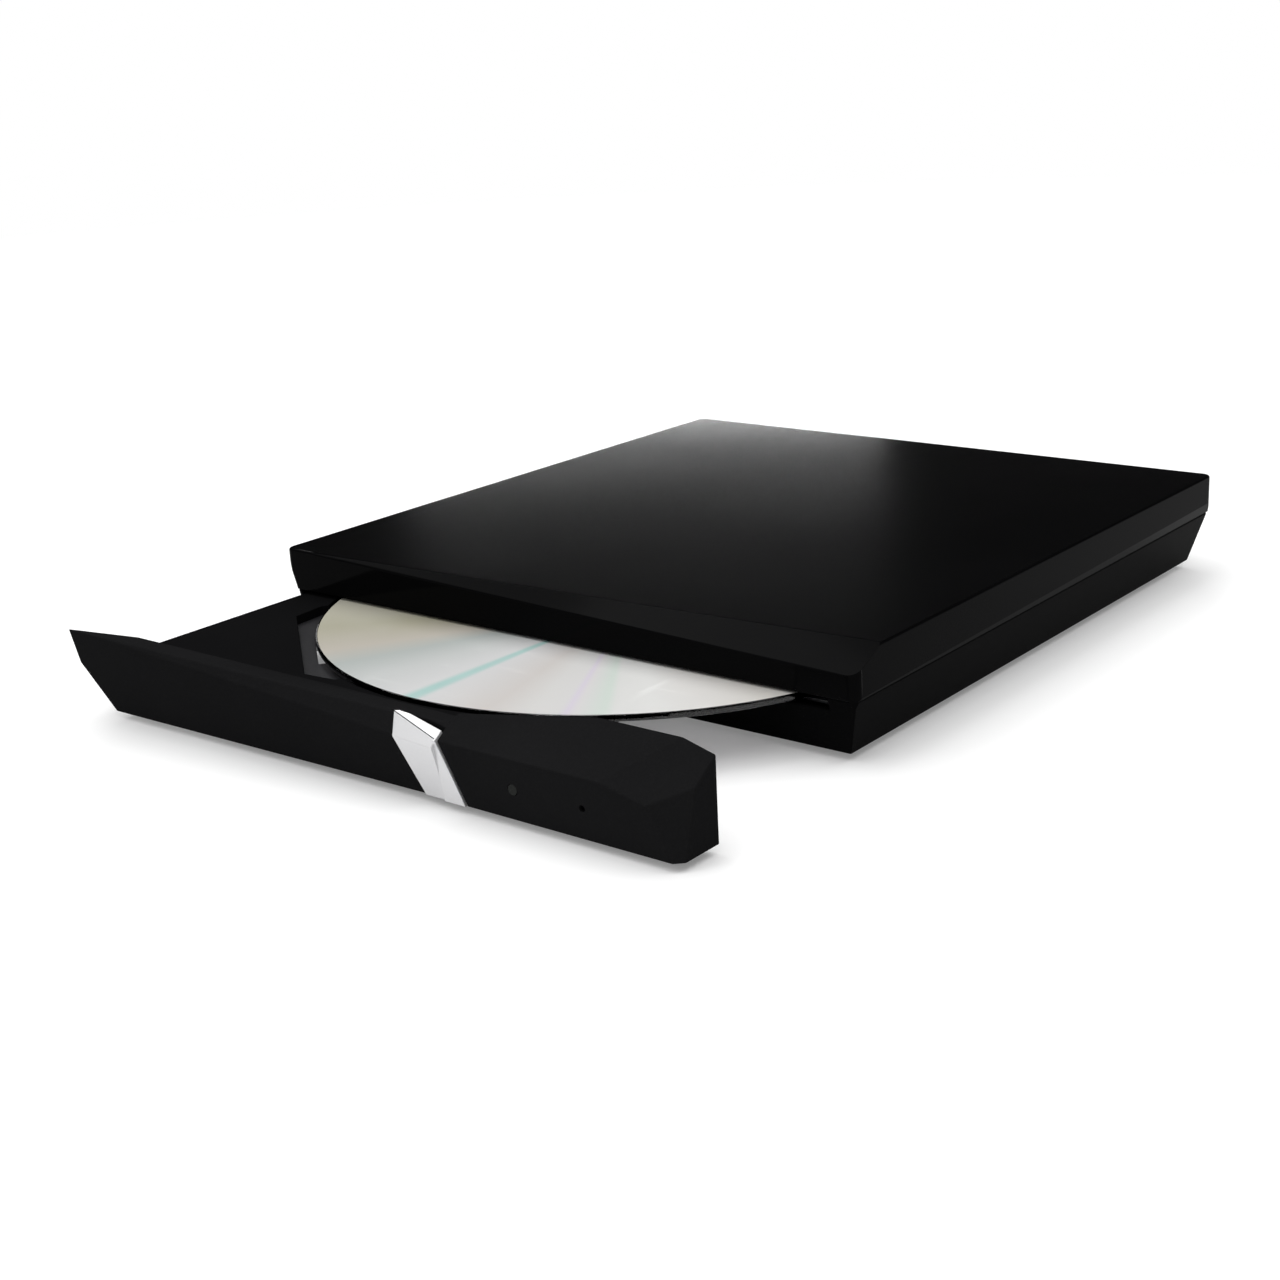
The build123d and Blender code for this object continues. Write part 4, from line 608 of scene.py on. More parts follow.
    @staticmethod
    def strip(path: np.ndarray, across: np.ndarray, thickness: float) -> Form:
        """A flat band along a path: each section is a thin rectangle as wide as across.

        Args:
            path: Points of the band's middle line.
            across: Half the band's width, as a vector.
            thickness: The band's thickness.

        Returns:
            The shape.
        """
        heading = np.gradient(path, axis=0)
        normal = np.cross(heading, across)
        normal *= thickness / 2 / np.linalg.norm(normal, axis=1)[:, None]
        sections = np.stack([path - across - normal, path + across - normal, path + across + normal,
                             path - across + normal], 1)
        return Form.carried(sections)

    @staticmethod
    def band(along: np.ndarray, rise: float | np.ndarray, width: float, thickness: float) -> Form:
        """A strip in the plane of Y and Z, its width across X.

        Args:
            along: Y of each point.
            rise: Z of each point, or of all.
            width: The band's width.
            thickness: Its thickness.

        Returns:
            The shape.
        """
        path = np.stack([0 * along, along, 0 * along + rise], 1)
        return Form.strip(path, np.array([width / 2, 0.0, 0.0]), thickness)


class Workshop:
    """Turns forms and frame nodes into pieces that ride on bodies, and dresses them."""

    def __init__(self, frame: dict, effects: Effects) -> None:
        """Keeps the frame and reads each node's body and slot.

        Args:
            effects: The shared node groups.
        """
        self.frame = frame
        self.effects = effects
        self.materials: dict[str, bpy.types.Material] = {}
        record = frame["record"]
        self.body_of = {n: b for b, nodes in record["behaviour"]["bodies"].items() for n in nodes}
        self.slot_of = {s["node"]: s["material_slot"] for s in record["subparts"]}

    def material(self, finish: AnyFinish) -> bpy.types.Material:
        """The finish's material, built at its first use."""
        if finish.name not in self.materials:
            self.materials[finish.name] = finish.build(self.effects)
        return self.materials[finish.name]

    def dress(self, node: str, finish: AnyFinish) -> None:
        """Gives a frame node its finish."""
        data = self.frame["nodes"][node].data
        data.materials.clear()
        data.materials.append(self.material(finish))
        LOG.info("node %s: %s", node, finish.name)

    def piece(self, name: str, form: Form, node: str, finish: AnyFinish, replaces: bool = False,
              slot: str | None = None) -> bpy.types.Object:
        """Makes a new piece that rides with a node.

        Args:
            name: The piece's name.
            form: Its shape.
            node: The node whose body it rides on.
            finish: Its finish.
            replaces: Whether it stands for the node.
            slot: Passed on to seated, which does not use it.

        Returns:
            The piece.
        """
        mesh = bpy.data.meshes.new(name)
        mesh.from_pydata(form.vertices.tolist(), [], form.faces)
        made = bmesh.new()
        made.from_mesh(mesh)
        bmesh.ops.remove_doubles(made, verts=made.verts, dist=WELD)
        bmesh.ops.recalc_face_normals(made, faces=made.faces)
        made.to_mesh(mesh)
        made.free()
        piece = self.shaded(name, mesh, finish, SHARP_ANGLE)
        return self.seated(piece, node, finish, replaces, slot)

    def softened(self, node: str, finish: AnyFinish, width: float, segments: int = 2) -> bpy.types.Object:
        """A merged copy of a node with softened edges, which stands for the node.

        Only outer edges that are long enough for it and sharper than a fillet's steps are softened.

        Args:
            node: The node.
            finish: The copy's finish.
            width: Width of the edges.
            segments: Steps across an edge.

        Returns:
            The copy.
        """
        mesh = self.frame["nodes"][node].data.copy()
        mesh.name = node + "_skin"
        made = bmesh.new()
        made.from_mesh(mesh)
        bmesh.ops.remove_doubles(made, verts=made.verts, dist=NODE_WELD)
        bmesh.ops.dissolve_limit(made, angle_limit=FLAT_ANGLE, verts=made.verts, edges=made.edges)
        weight = made.edges.layers.float.new("bevel_weight_edge")
        for edge in made.edges:
            if len(edge.link_faces) == 2 and edge.calc_length() > LONG_EDGE * width:
                edge[weight] = float(edge.calc_face_angle_signed(0.0) > FACET_ANGLE)
        made.to_mesh(mesh)
        made.free()
        mesh.materials.clear()
        piece = self.shaded(mesh.name, mesh, finish, FACET_ANGLE)
        bevel = piece.modifiers.new("soft_edges", "BEVEL")
        bevel.width = width
        bevel.segments = segments
        bevel.limit_method = "WEIGHT"
        bevel.use_clamp_overlap = False
        flat = piece.modifiers.new("flat_faces", "WEIGHTED_NORMAL")
        flat.weight = 100
        flat.keep_sharp = True
        return self.seated(piece, node, finish, True, None)

    def soften(self, *rows: tuple[str, Finish, float]) -> None:
        """Softens nodes, each given with its finish and the width of its edges in millimetres."""
        for node, finish, edge in rows:
            self.softened(node, finish, edge * MM)

    def shaded(self, name: str, mesh: bpy.types.Mesh, finish: AnyFinish, sharp: float) -> bpy.types.Object:
        """An object with smooth shading between its sharp edges, in its finish.

        Args:
            name: The object's name.
            mesh: Its mesh.
            finish: Its finish.
            sharp: Angle past which an edge is sharp.

        Returns:
            The object.
        """
        mesh.shade_smooth()
        mesh.set_sharp_from_angle(angle=sharp)
        mesh.materials.append(self.material(finish))
        piece = bpy.data.objects.new(name, mesh)
        bpy.context.scene.collection.objects.link(piece)
        return piece

    def seated(self, piece: bpy.types.Object, node: str, finish: AnyFinish, replaces: bool,
               slot: str | None) -> bpy.types.Object:
        """Puts a piece on a node's body.

        Args:
            piece: The piece.
            node: The node whose body it rides on.
            finish: Its finish, for the log.
            replaces: Whether it stands for the node.
            slot: Not used.

        Returns:
            The piece.
        """
        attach(piece, self.body_of[node])
        if replaces:
            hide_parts(node)
        LOG.info("piece %s on %s: %s", piece.name, self.body_of[node], finish.name)
        return piece

    @staticmethod
    def middle(node: str) -> np.ndarray:
        """Middle of a node's box."""
        low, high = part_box(node)
        return (np.array(low) + np.array(high)) / 2

    @staticmethod
    def on_plate(form: Form) -> Form:
        """A form of the mechanism plate, turned with the plate and moved to the spindle's axis."""
        middle = Workshop.middle("turntable")
        return form.turned(SLED_ANGLE).moved((middle[0], middle[1], 0.0))

    @staticmethod
    def screw_heads(places: list[tuple[float, float]], seat: float, radius: float, height: float) -> Form:
        """Round screw heads that hang under a seat: a rounded rim, and a dish with a shallow socket.

        Args:
            places: Middle of each head.
            seat: Height of the face that they lie against.
            radius: Radius of a head.
            height: Height of a head.

        Returns:
            The heads.
        """
        profile = [(radius * out, seat - height * down) for out, down in SCREW_SECTION]
        head = Form.revolved(profile, segments=28)
        return head.copies(np.array([(x, y, 0.0) for x, y in places]))


CASE_BLACK = Finish("case_black", (0.0018, 0.0018, 0.0019), (0.0045, 0.0045, 0.0048), 0.080,
                    rough_spread=0.02, specular=0.010, grain=5200.0, depth=0.16, bump=0.000003, smudge=0.3)
BASE_BLACK = Finish("base_black", (0.0020, 0.0020, 0.0021), (0.0055, 0.0055, 0.0058), 0.34,
                    rough_spread=0.10, specular=0.004, grain=3000.0, depth=0.55, smudge=0.3)
BEZEL_BLACK = Finish("bezel_black", (0.0080, 0.0080, 0.0084), (0.0165, 0.0165, 0.0172), 0.32,
                     rough_spread=0.04, specular=0.0, grain=2600.0, depth=0.08, bump=0.00001, smudge=0.4)
TRAY_BLACK = Finish("tray_black", (0.0045, 0.0045, 0.0048), (0.0100, 0.0100, 0.0105), 0.42, specular=0.0,
                    grain=4200.0, depth=0.4)
STRIP_SILVER = Finish("strip_silver", (0.66, 0.66, 0.67), (0.78, 0.78, 0.79), 0.30, metallic=0.55,
                      grain=6000.0, depth=0.15, bump=0.00001, coat=0.3)
FOOT_RUBBER = Finish("foot_rubber", (0.016, 0.016, 0.016), (0.032, 0.032, 0.031), 0.78, specular=0.25,
                     grain=2400.0, depth=0.6, bump=0.00006, smudge=0.6)
SHEET_STEEL = Finish("sheet_steel", (0.46, 0.47, 0.48), (0.60, 0.61, 0.62), 0.34, metallic=1.0,
                     pattern=Pattern.BRUSHED, grain=2600.0, depth=0.4, bump=0.00002, rough_spread=0.16)
DARK_STEEL = Finish("dark_steel", (0.030, 0.030, 0.033), (0.07, 0.07, 0.075), 0.38, metallic=0.6,
                    grain=3000.0, depth=0.3, bump=0.00002)
BRIGHT_STEEL = Finish("bright_steel", (0.70, 0.70, 0.71), (0.58, 0.58, 0.60), 0.16, metallic=1.0,
                      pattern=Pattern.BRUSHED, grain=3600.0, depth=0.15, bump=0.00001)
CAST_ZINC = Finish("cast_zinc", (0.33, 0.33, 0.34), (0.45, 0.45, 0.46), 0.44, metallic=0.9,
                   grain=2200.0, depth=0.6, bump=0.00006)
MOTOR_SILVER = Finish("motor_silver", (0.55, 0.55, 0.56), (0.68, 0.68, 0.69), 0.28, metallic=1.0,
                      pattern=Pattern.BRUSHED, grain=3200.0, depth=0.3, bump=0.00002)
NATURAL_PLASTIC = Finish("natural_plastic", (0.50, 0.49, 0.45), (0.60, 0.59, 0.55), 0.42, specular=0.45,
                         grain=2600.0, depth=0.3, bump=0.00003)
WHITE_PLASTIC = Finish("white_plastic", (0.66, 0.66, 0.63), (0.74, 0.74, 0.72), 0.38, specular=0.45,
                       grain=2600.0, bump=0.00002)
CONNECTOR_BLACK = Finish("connector_black", (0.020, 0.020, 0.022), (0.040, 0.040, 0.042), 0.48,
                         specular=0.35, grain=3800.0, depth=0.4, bump=0.00003)
BOARD_GREEN = Finish("board_green", (0.012, 0.085, 0.035), (0.03, 0.16, 0.07), 0.30,
                     pattern=Pattern.BRUSHED, grain=900.0, depth=0.4, bump=0.00002, coat=0.2)
CHIP_BLACK = Finish("chip_black", (0.018, 0.018, 0.019), (0.045, 0.045, 0.046), 0.55, specular=0.3,
                    grain=5200.0, depth=0.5, bump=0.00002)
COPPER = Finish("copper", (0.62, 0.27, 0.12), (0.74, 0.38, 0.20), 0.28, metallic=1.0,
                pattern=Pattern.BRUSHED, grain=5200.0, depth=0.4, bump=0.00003)
ROTOR_GREY = Finish("rotor_grey", (0.060, 0.060, 0.064), (0.10, 0.10, 0.105), 0.36, metallic=0.35,
                    grain=2600.0, depth=0.3, bump=0.00002)
SOLDER_TIN = Finish("solder_tin", (0.62, 0.62, 0.63), (0.74, 0.74, 0.75), 0.30, metallic=1.0,
                    grain=5200.0, depth=0.5, bump=0.00002)
PART_BROWN = Finish("part_brown", (0.20, 0.13, 0.08), (0.30, 0.21, 0.14), 0.50, specular=0.4,
                    grain=4200.0, depth=0.3, bump=0.00001)
GOLD_CONTACT = Finish("gold_contact", (0.75, 0.55, 0.20), (0.83, 0.65, 0.32), 0.22, metallic=1.0,
                      pattern=Pattern.BRUSHED, grain=5200.0, bump=0.00001)
FLEX_AMBER = Finish("flex_amber", (0.30, 0.13, 0.03), (0.42, 0.21, 0.06), 0.30,
                    pattern=Pattern.BRUSHED, grain=1500.0, depth=0.5, bump=0.00002)
CLEAR_PLASTIC = ClearFinish("clear_plastic", (0.93, 0.95, 0.95))
LENS_GLASS = ClearFinish("lens_glass", (0.55, 0.60, 0.85), 0.02, 1.52)
LAMP_LENS = Finish("lamp_lens", (0.004, 0.005, 0.004), (0.008, 0.010, 0.008), 0.2, specular=0.1,
                   grain=3000.0, depth=0.05, bump=0.000005)


@dataclass
class CaseShell:
    """Case, feet and screws."""

    shop: Workshop
    edge: float = 0.28 * MM
    foot_radius: float = 5.5 * MM
    foot_round: float = 0.6 * MM
    foot_dish: float = 0.25 * MM
    dish_share: float = 0.62
    rim_share: float = 0.70

    def build(self) -> None:
        """Softens the covers and the screws, and makes the feet."""
        self.shop.softened("top_cover", CASE_BLACK, self.edge, 3)
        self.shop.softened("bottom_cover", BASE_BLACK, self.edge)
        self.shop.piece("feet", self.feet(), "rubber_feet", FOOT_RUBBER, replaces=True)
        self.shop.soften(("case_screws", DARK_STEEL, 0.08), ("mech_screws", DARK_STEEL, 0.08))

    def feet(self) -> Form:
        """Four feet: a disc with a rounded rim and a shallow dish in its underside."""
        low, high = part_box("rubber_feet")
        radius, rim, dish = self.foot_radius, self.foot_round, low.z + self.foot_dish
        sweep = np.linspace(0.0, math.pi / 2, 5)
        edge = [(radius - rim * (1 - math.sin(s)), low.z + rim * (1 - math.cos(s))) for s in sweep]
        profile = [(0.0, dish), (radius * self.dish_share, dish), (radius * self.rim_share, low.z), *edge,
                   (radius, high.z), (0.0, high.z)]
        return Form.joined([Form.revolved(profile, (x, y, 0.0), segments=48)
                            for x in (low.x + radius, high.x - radius)
                            for y in (low.y + radius, high.y - radius)])


@dataclass
class Disc:
    """Disc: a clear body with a silver layer in each of its two faces."""

    shop: Workshop
    rim_round: float = 0.25 * MM
    bore: float = 7.5 * MM
    metal_inner: float = 20.0 * MM
    metal_outer: float = 59.6 * MM
    stack_ring: float = 17.0 * MM
    step: float = 0.12 * MM
    silver: float = 0.04 * MM

    def build(self) -> None:
        """Makes the disc's body and its silver layers."""
        centre = tuple(self.shop.middle("disc"))
        low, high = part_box("disc")
        body = self.section((high.x - low.x) / 2, low.z - centre[2], high.z - centre[2])
        self.shop.piece("disc_body", Form.revolved(body, centre, segments=180), "disc", CLEAR_PLASTIC,
                        replaces=True)
        silver = DiscFinish("disc_silver", centre)
        mirror = DiscFinish("disc_mirror", centre, metallic=0.85, roughness=0.14, shade=0.72, wear=0.03)
        for name, height, finish in (("disc_face", high.z, silver),
                                     ("disc_read_side", low.z + self.silver, mirror)):
            top = height - centre[2]
            layer = [(self.metal_inner, top - self.silver), (self.metal_outer, top - self.silver),
                     (self.metal_outer, top), (self.metal_inner, top)]
            self.shop.piece(name, Form.revolved(layer, centre, segments=180), "disc", finish)

    def section(self, radius: float, low: float, high: float) -> list[tuple[float, float]]:
        """Section of the disc: a rounded rim, the stacking ring under it, and beds for the silver.

        Args:
            radius: The disc's radius.
            low: Height of its underside.
            high: Height of its face.

        Returns:
            Radius and height of each corner.
        """
        turn = np.linspace(-math.pi / 2, math.pi / 2, 7)
        middle, half, step = (high + low) / 2, (high - low) / 2, self.step
        inner, outer, bore, ring = self.metal_inner, self.metal_outer, self.bore, self.stack_ring
        rim = [(radius - self.rim_round * (1 - math.cos(t)), middle + half * math.sin(t)) for t in turn]
        bed, roof = high - self.silver, low + self.silver
        return [(bore, low + step), (bore + step, low), (ring - step, low + step), (ring, low + 2 * step),
                (ring + step, low), (inner, low), (inner, roof), (outer, roof), (outer, low), *rim,
                (outer, high), (outer, bed), (inner, bed), (inner, high), (inner - step, high - step),
                (bore + step, high - step), (bore, high - 2 * step)]


@dataclass
class BoardParts:
    """Leads of chips and small soldered parts, on a board's face or on its underside."""

    shop: Workshop
    name: str
    face: float
    under: bool = False
    lead_width: float = 0.22 * MM
    lead_sheet: float = 0.12 * MM
    lead_reach: float = 0.50 * MM
    lead_bends: tuple[float, ...] = (-0.1, 0.3, 0.55, 1.0)
    lead_row: float = 0.8
    pitch: float = 0.5 * MM
    length: float = 1.0 * MM
    width: float = 0.5 * MM
    height: float = 0.4 * MM
    end_share: float = 0.24
    end_wide: float = 1.06
    body_rise: float = 0.92

    def solder(self, chips: tuple[tuple[float, float], ...], row: float, chip_height: float,
               places: np.ndarray) -> None:
        """Adds the leads of the board's chips, and its small parts.

        Args:
            chips: X of each chip's middle, and length of its sides.
            row: Y of the chips' middles.
            chip_height: The chips' height.
            places: X and Y of each small part's middle.
        """
        leads = Form.joined([self.leads((x, row, self.face), size, chip_height) for x, size in chips])
        bodies, ends = self.parts(np.column_stack([places, np.full(len(places), self.face)]))
        for part, form, finish, slot in (("leads", leads, SOLDER_TIN, "socket_metal"),
                                         ("parts", bodies, PART_BROWN, "chip_black"),
                                         ("part_ends", ends, SOLDER_TIN, "socket_metal")):
            seated = form.flipped(self.face) if self.under else form
            self.shop.piece(f"{self.name}_{part}", seated, f"{self.name}_board", finish, slot=slot)

    def leads(self, centre: Point, size: float, chip_height: float) -> Form:
        """Leads on a chip's four sides: a band leaves the body, drops to the board and ends in a foot.

        Args:
            centre: Middle of the chip, on the board's face.
            size: Length of its sides.
            chip_height: Its height.

        Returns:
            The leads.
        """
        half, foot = size / 2, self.lead_sheet / 2
        reach = np.array(self.lead_bends) * self.lead_reach + half
        rise = np.array([chip_height * 0.5, chip_height * 0.5, foot, foot])
        lead = Form.strip(np.stack([reach, 0 * reach, rise], 1), np.array([0.0, self.lead_width / 2, 0.0]),
                          self.lead_sheet)
        count = int(size * self.lead_row / self.pitch)
        along = (np.arange(count) - (count - 1) / 2) * self.pitch
        return lead.copies(np.stack([0 * along, along, 0 * along], 1)).fanned(4).moved(centre)

    def parts(self, places: np.ndarray) -> tuple[Form, Form]:
        """Bodies and soldered ends of small parts: each body lies between two slightly wider ends.

        Args:
            places: Middle of each part, on the board's face.

        Returns:
            The bodies and the ends.
        """
        half, wide, end = self.length / 2, self.width / 2, self.length * self.end_share
        body = Form.block((end - half, -wide, 0.0), (half - end, wide, self.height * self.body_rise),
                          0.05 * MM, 0.03 * MM, points=12)
        left = Form.block((-half, -wide * self.end_wide, 0.0),
                          (end - half, wide * self.end_wide, self.height), 0.08 * MM, 0.04 * MM, points=12)
        ends = left + left.moved((self.length - end, 0.0, 0.0))
        return body.copies(places), ends.copies(places)


@dataclass
class RearBoard:
    """Bridge board with its parts, the connector to the mechanism and the USB socket."""

    shop: Workshop
    chips: tuple[tuple[float, float], ...] = ((14.0 * MM, 5.5 * MM), (24.0 * MM, 3.5 * MM))
    crystal: Plan = (27.3, 89.0, 30.5, 91.0)
    crystal_height: float = 0.8 * MM
    pin_width: float = 0.36 * MM
    pin_sheet: float = 0.12 * MM
    pin_root: float = 0.1 * MM
    pin_rise: float = 0.9 * MM
    pin_bends: tuple[float, ...] = (0.0, 0.35 * MM, 0.6 * MM, 1.0 * MM)
    contact_width: float = 0.45 * MM
    contact_pitch: float = 0.95 * MM
    contact_sheet: float = 0.08 * MM
    contact_bow: float = 0.12 * MM
    contact_short: float = 0.25 * MM
    leaf_width: float = 1.1 * MM
    leaf_length: float = 4.2 * MM
    leaf_bow: float = 0.32 * MM
    leaf_aside: float = 1.9 * MM

    def build(self) -> None:
        """Softens the board's blocks and adds leads, small parts, crystal, contacts and springs."""
        shop = self.shop
        shop.soften(("bridge_board", BOARD_GREEN, 0.06), ("bridge_chips", CHIP_BLACK, 0.06),
                    ("sata_connector", CONNECTOR_BLACK, 0.06), ("usb_tongue", CONNECTOR_BLACK, 0.06),
                    ("usb_shell", BRIGHT_STEEL, 0.05))
        _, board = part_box("bridge_board")
        low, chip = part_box("bridge_chips")
        top = board.z
        BoardParts(shop, "bridge", top).solder(self.chips, (low.y + chip.y) / 2, chip.z - top, self.places())
        crystal = Form.slab(self.crystal, top, top + self.crystal_height, 0.5 * MM, 0.15 * MM, points=32)
        for name, form, node, finish in (
                ("crystal", crystal, "bridge_board", BRIGHT_STEEL),
                ("connector_pins", self.pins(top), "sata_connector", GOLD_CONTACT),
                ("usb_contacts", self.contacts(), "usb_tongue", GOLD_CONTACT),
                ("usb_springs", self.springs(), "usb_shell", BRIGHT_STEEL)):
            shop.piece(name, form, node, finish, slot="socket_metal")

    @staticmethod
    def places() -> np.ndarray:
        """X and Y of the small parts, in three groups between the larger parts."""
        middle = [(x, y) for y in (85.4, 86.8, 88.1) for x in (28.0, 29.8, 31.6, 33.6)]
        sides = [(8.4, 85.7), (8.4, 87.3), (8.4, 88.9), (33.6, 89.6), (46.6, 85.6), (46.6, 87.2),
                 (48.6, 87.2), (46.6, 89.6), (48.6, 89.6)]
        return np.array(middle + sides) * MM

    def pins(self, top: float) -> Form:
        """Soldered tails of the connector: bands that leave its rear wall and end flat on the board."""
        low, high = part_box("sata_connector")
        along = high.y - self.pin_root + np.array(self.pin_bends)
        rise = top + np.array([self.pin_rise, self.pin_rise, self.pin_sheet / 2, self.pin_sheet / 2])
        tail = Form.band(along, rise, self.pin_width, self.pin_sheet)
        power = np.linspace(low.x + 1.6 * MM, low.x + 5.0 * MM, 4)
        data = np.linspace(high.x - 13.0 * MM, high.x - 1.6 * MM, 10)
        return tail.across([*power, *data])

    def contacts(self) -> Form:
        """Contacts on the tongue: four above, with raised middles, and five flat ones below."""
        low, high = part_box("usb_tongue")
        share = np.linspace(0.0, 1.0, 12)
        along = low.y + (high.y - low.y - self.contact_short) * share
        bow = self.contact_bow * np.sin(math.pi * np.clip(share * 2 - 1, 0, 1)) ** 2
        upper = Form.band(along, high.z + 0.05 * MM + bow, self.contact_width, self.contact_sheet)
        lower = Form.band(along, low.z - self.contact_sheet / 2, self.contact_width, self.contact_sheet)
        middle = (low.x + high.x) / 2
        return (upper.across([middle + self.contact_pitch * (step - 1.5) for step in range(4)])
                + lower.across([middle + self.contact_pitch * (step - 2) for step in range(5)]))

    def springs(self) -> Form:
        """Leaf springs in the shell's roof: bands that bow down into the mouth."""
        low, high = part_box("usb_shell")
        share = np.linspace(0.0, 1.0, 14)
        roof = high.z - 0.35 * MM - 0.05 * MM
        leaf = Form.band(high.y - 1.0 * MM - self.leaf_length * share,
                         roof - self.leaf_bow * np.sin(math.pi * share), self.leaf_width, 0.12 * MM)
        middle = (low.x + high.x) / 2
        return leaf.across([middle - self.leaf_aside, middle + self.leaf_aside])


@dataclass
class TrayFront:
    """Tray, its faceted front, what its front holds, and the tray's board."""

    shop: Workshop
    chips: tuple[tuple[float, float], ...] = ((-29.0 * MM, 12.0 * MM), (-10.0 * MM, 9.0 * MM),
                                              (9.0 * MM, 6.0 * MM))
    cable_socket: Plan = (-22.0, 38.0, -2.0, 39.4)
    cable_latch: Plan = (-22.6, 39.4, -1.4, 39.9)
    motor_socket: Plan = (-8.2, 15.1, -0.8, 16.4)
    rib_width: float = 0.9 * MM
    rib_depth: float = 1.0 * MM
    ribs_run: tuple[Plan, ...] = (
        (-58.5, -75.0, -58.5, 2.0), (-46.0, -36.0, -46.0, -8.0), (-31.0, 6.0, -8.0, 6.0),
        (-20.0, -5.0, -20.0, 12.8), (-31.0, 12.8, 22.0, 12.8), (18.0, -76.0, 18.0, -53.0),
        (6.0, -76.0, 6.0, -60.0), (6.0, -66.0, 18.0, -66.0))

    def build(self) -> None:
        """Softens the tray's parts and adds what its underside holds."""
        shop = self.shop
        shop.softened("front_bezel", BEZEL_BLACK, 0.22 * MM, 3)
        shop.softened("eject_button", STRIP_SILVER, 0.12 * MM, 3)
        shop.soften(("tray", TRAY_BLACK, 0.12), ("button_board", BOARD_GREEN, 0.06),
                    ("eject_switch", CONNECTOR_BLACK, 0.06), ("lamp_led", WHITE_PLASTIC, 0.06),
                    ("tray_board", BOARD_GREEN, 0.06), ("tray_chips", CHIP_BLACK, 0.06))
        shop.dress("lamp_pipe", LAMP_LENS)
        self.underside()

    def underside(self) -> None:
        """Leads, small parts and sockets on the board's underside, and ribs under the tray's deck."""
        shop = self.shop
        board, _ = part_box("tray_board")
        chip_low, chip_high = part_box("tray_chips")
        row, face = (chip_low.y + chip_high.y) / 2, board.z
        BoardParts(shop, "tray", face, under=True).solder(self.chips, row, face - chip_low.z, self.places())
        socket = Form.slab(self.cable_socket, face - 1.0 * MM, face, 0.2 * MM, 0.1 * MM)
        latch = Form.slab(self.cable_latch, face - 0.9 * MM, face - 0.1 * MM, 0.15 * MM, 0.08 * MM)
        motor_socket = Form.slab(self.motor_socket, face - 0.9 * MM, face, 0.2 * MM, 0.1 * MM)
        shop.piece("cable_socket", socket, "tray_board", WHITE_PLASTIC, slot="white_plastic")
        shop.piece("cable_latch", latch, "tray_board", CONNECTOR_BLACK, slot="connector_plastic")
        shop.piece("tray_ribs", self.ribs(), "tray", TRAY_BLACK)
        shop.piece("motor_socket", motor_socket, "tray_board", WHITE_PLASTIC, slot="white_plastic")

    @staticmethod
    def places() -> np.ndarray:
        """X and Y of the small parts: three rows, with every fifth place left free."""
        columns = np.arange(-41.0, 22.0, 3.1) * MM
        rows = np.array([17.2, 19.2, 36.4]) * MM
        grid = np.stack(np.meshgrid(columns, rows, indexing="ij"), 2).reshape(-1, 2)
        return grid[np.arange(len(grid)) % 5 != 3]

    def ribs(self) -> Form:
        """Stiffening ribs under the tray's deck: narrow blocks with softened edges."""
        _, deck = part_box("lock_solenoid")
        half = self.rib_width / 2
        forms = []
        for x0, y0, x1, y1 in self.ribs_run:
            low = (x0 * MM - half, y0 * MM - half, deck.z - self.rib_depth)
            high = (x1 * MM + half, y1 * MM + half, deck.z)
            forms.append(Form.block(low, high, 0.2 * MM, 0.12 * MM, points=16))
        return Form.joined(forms)


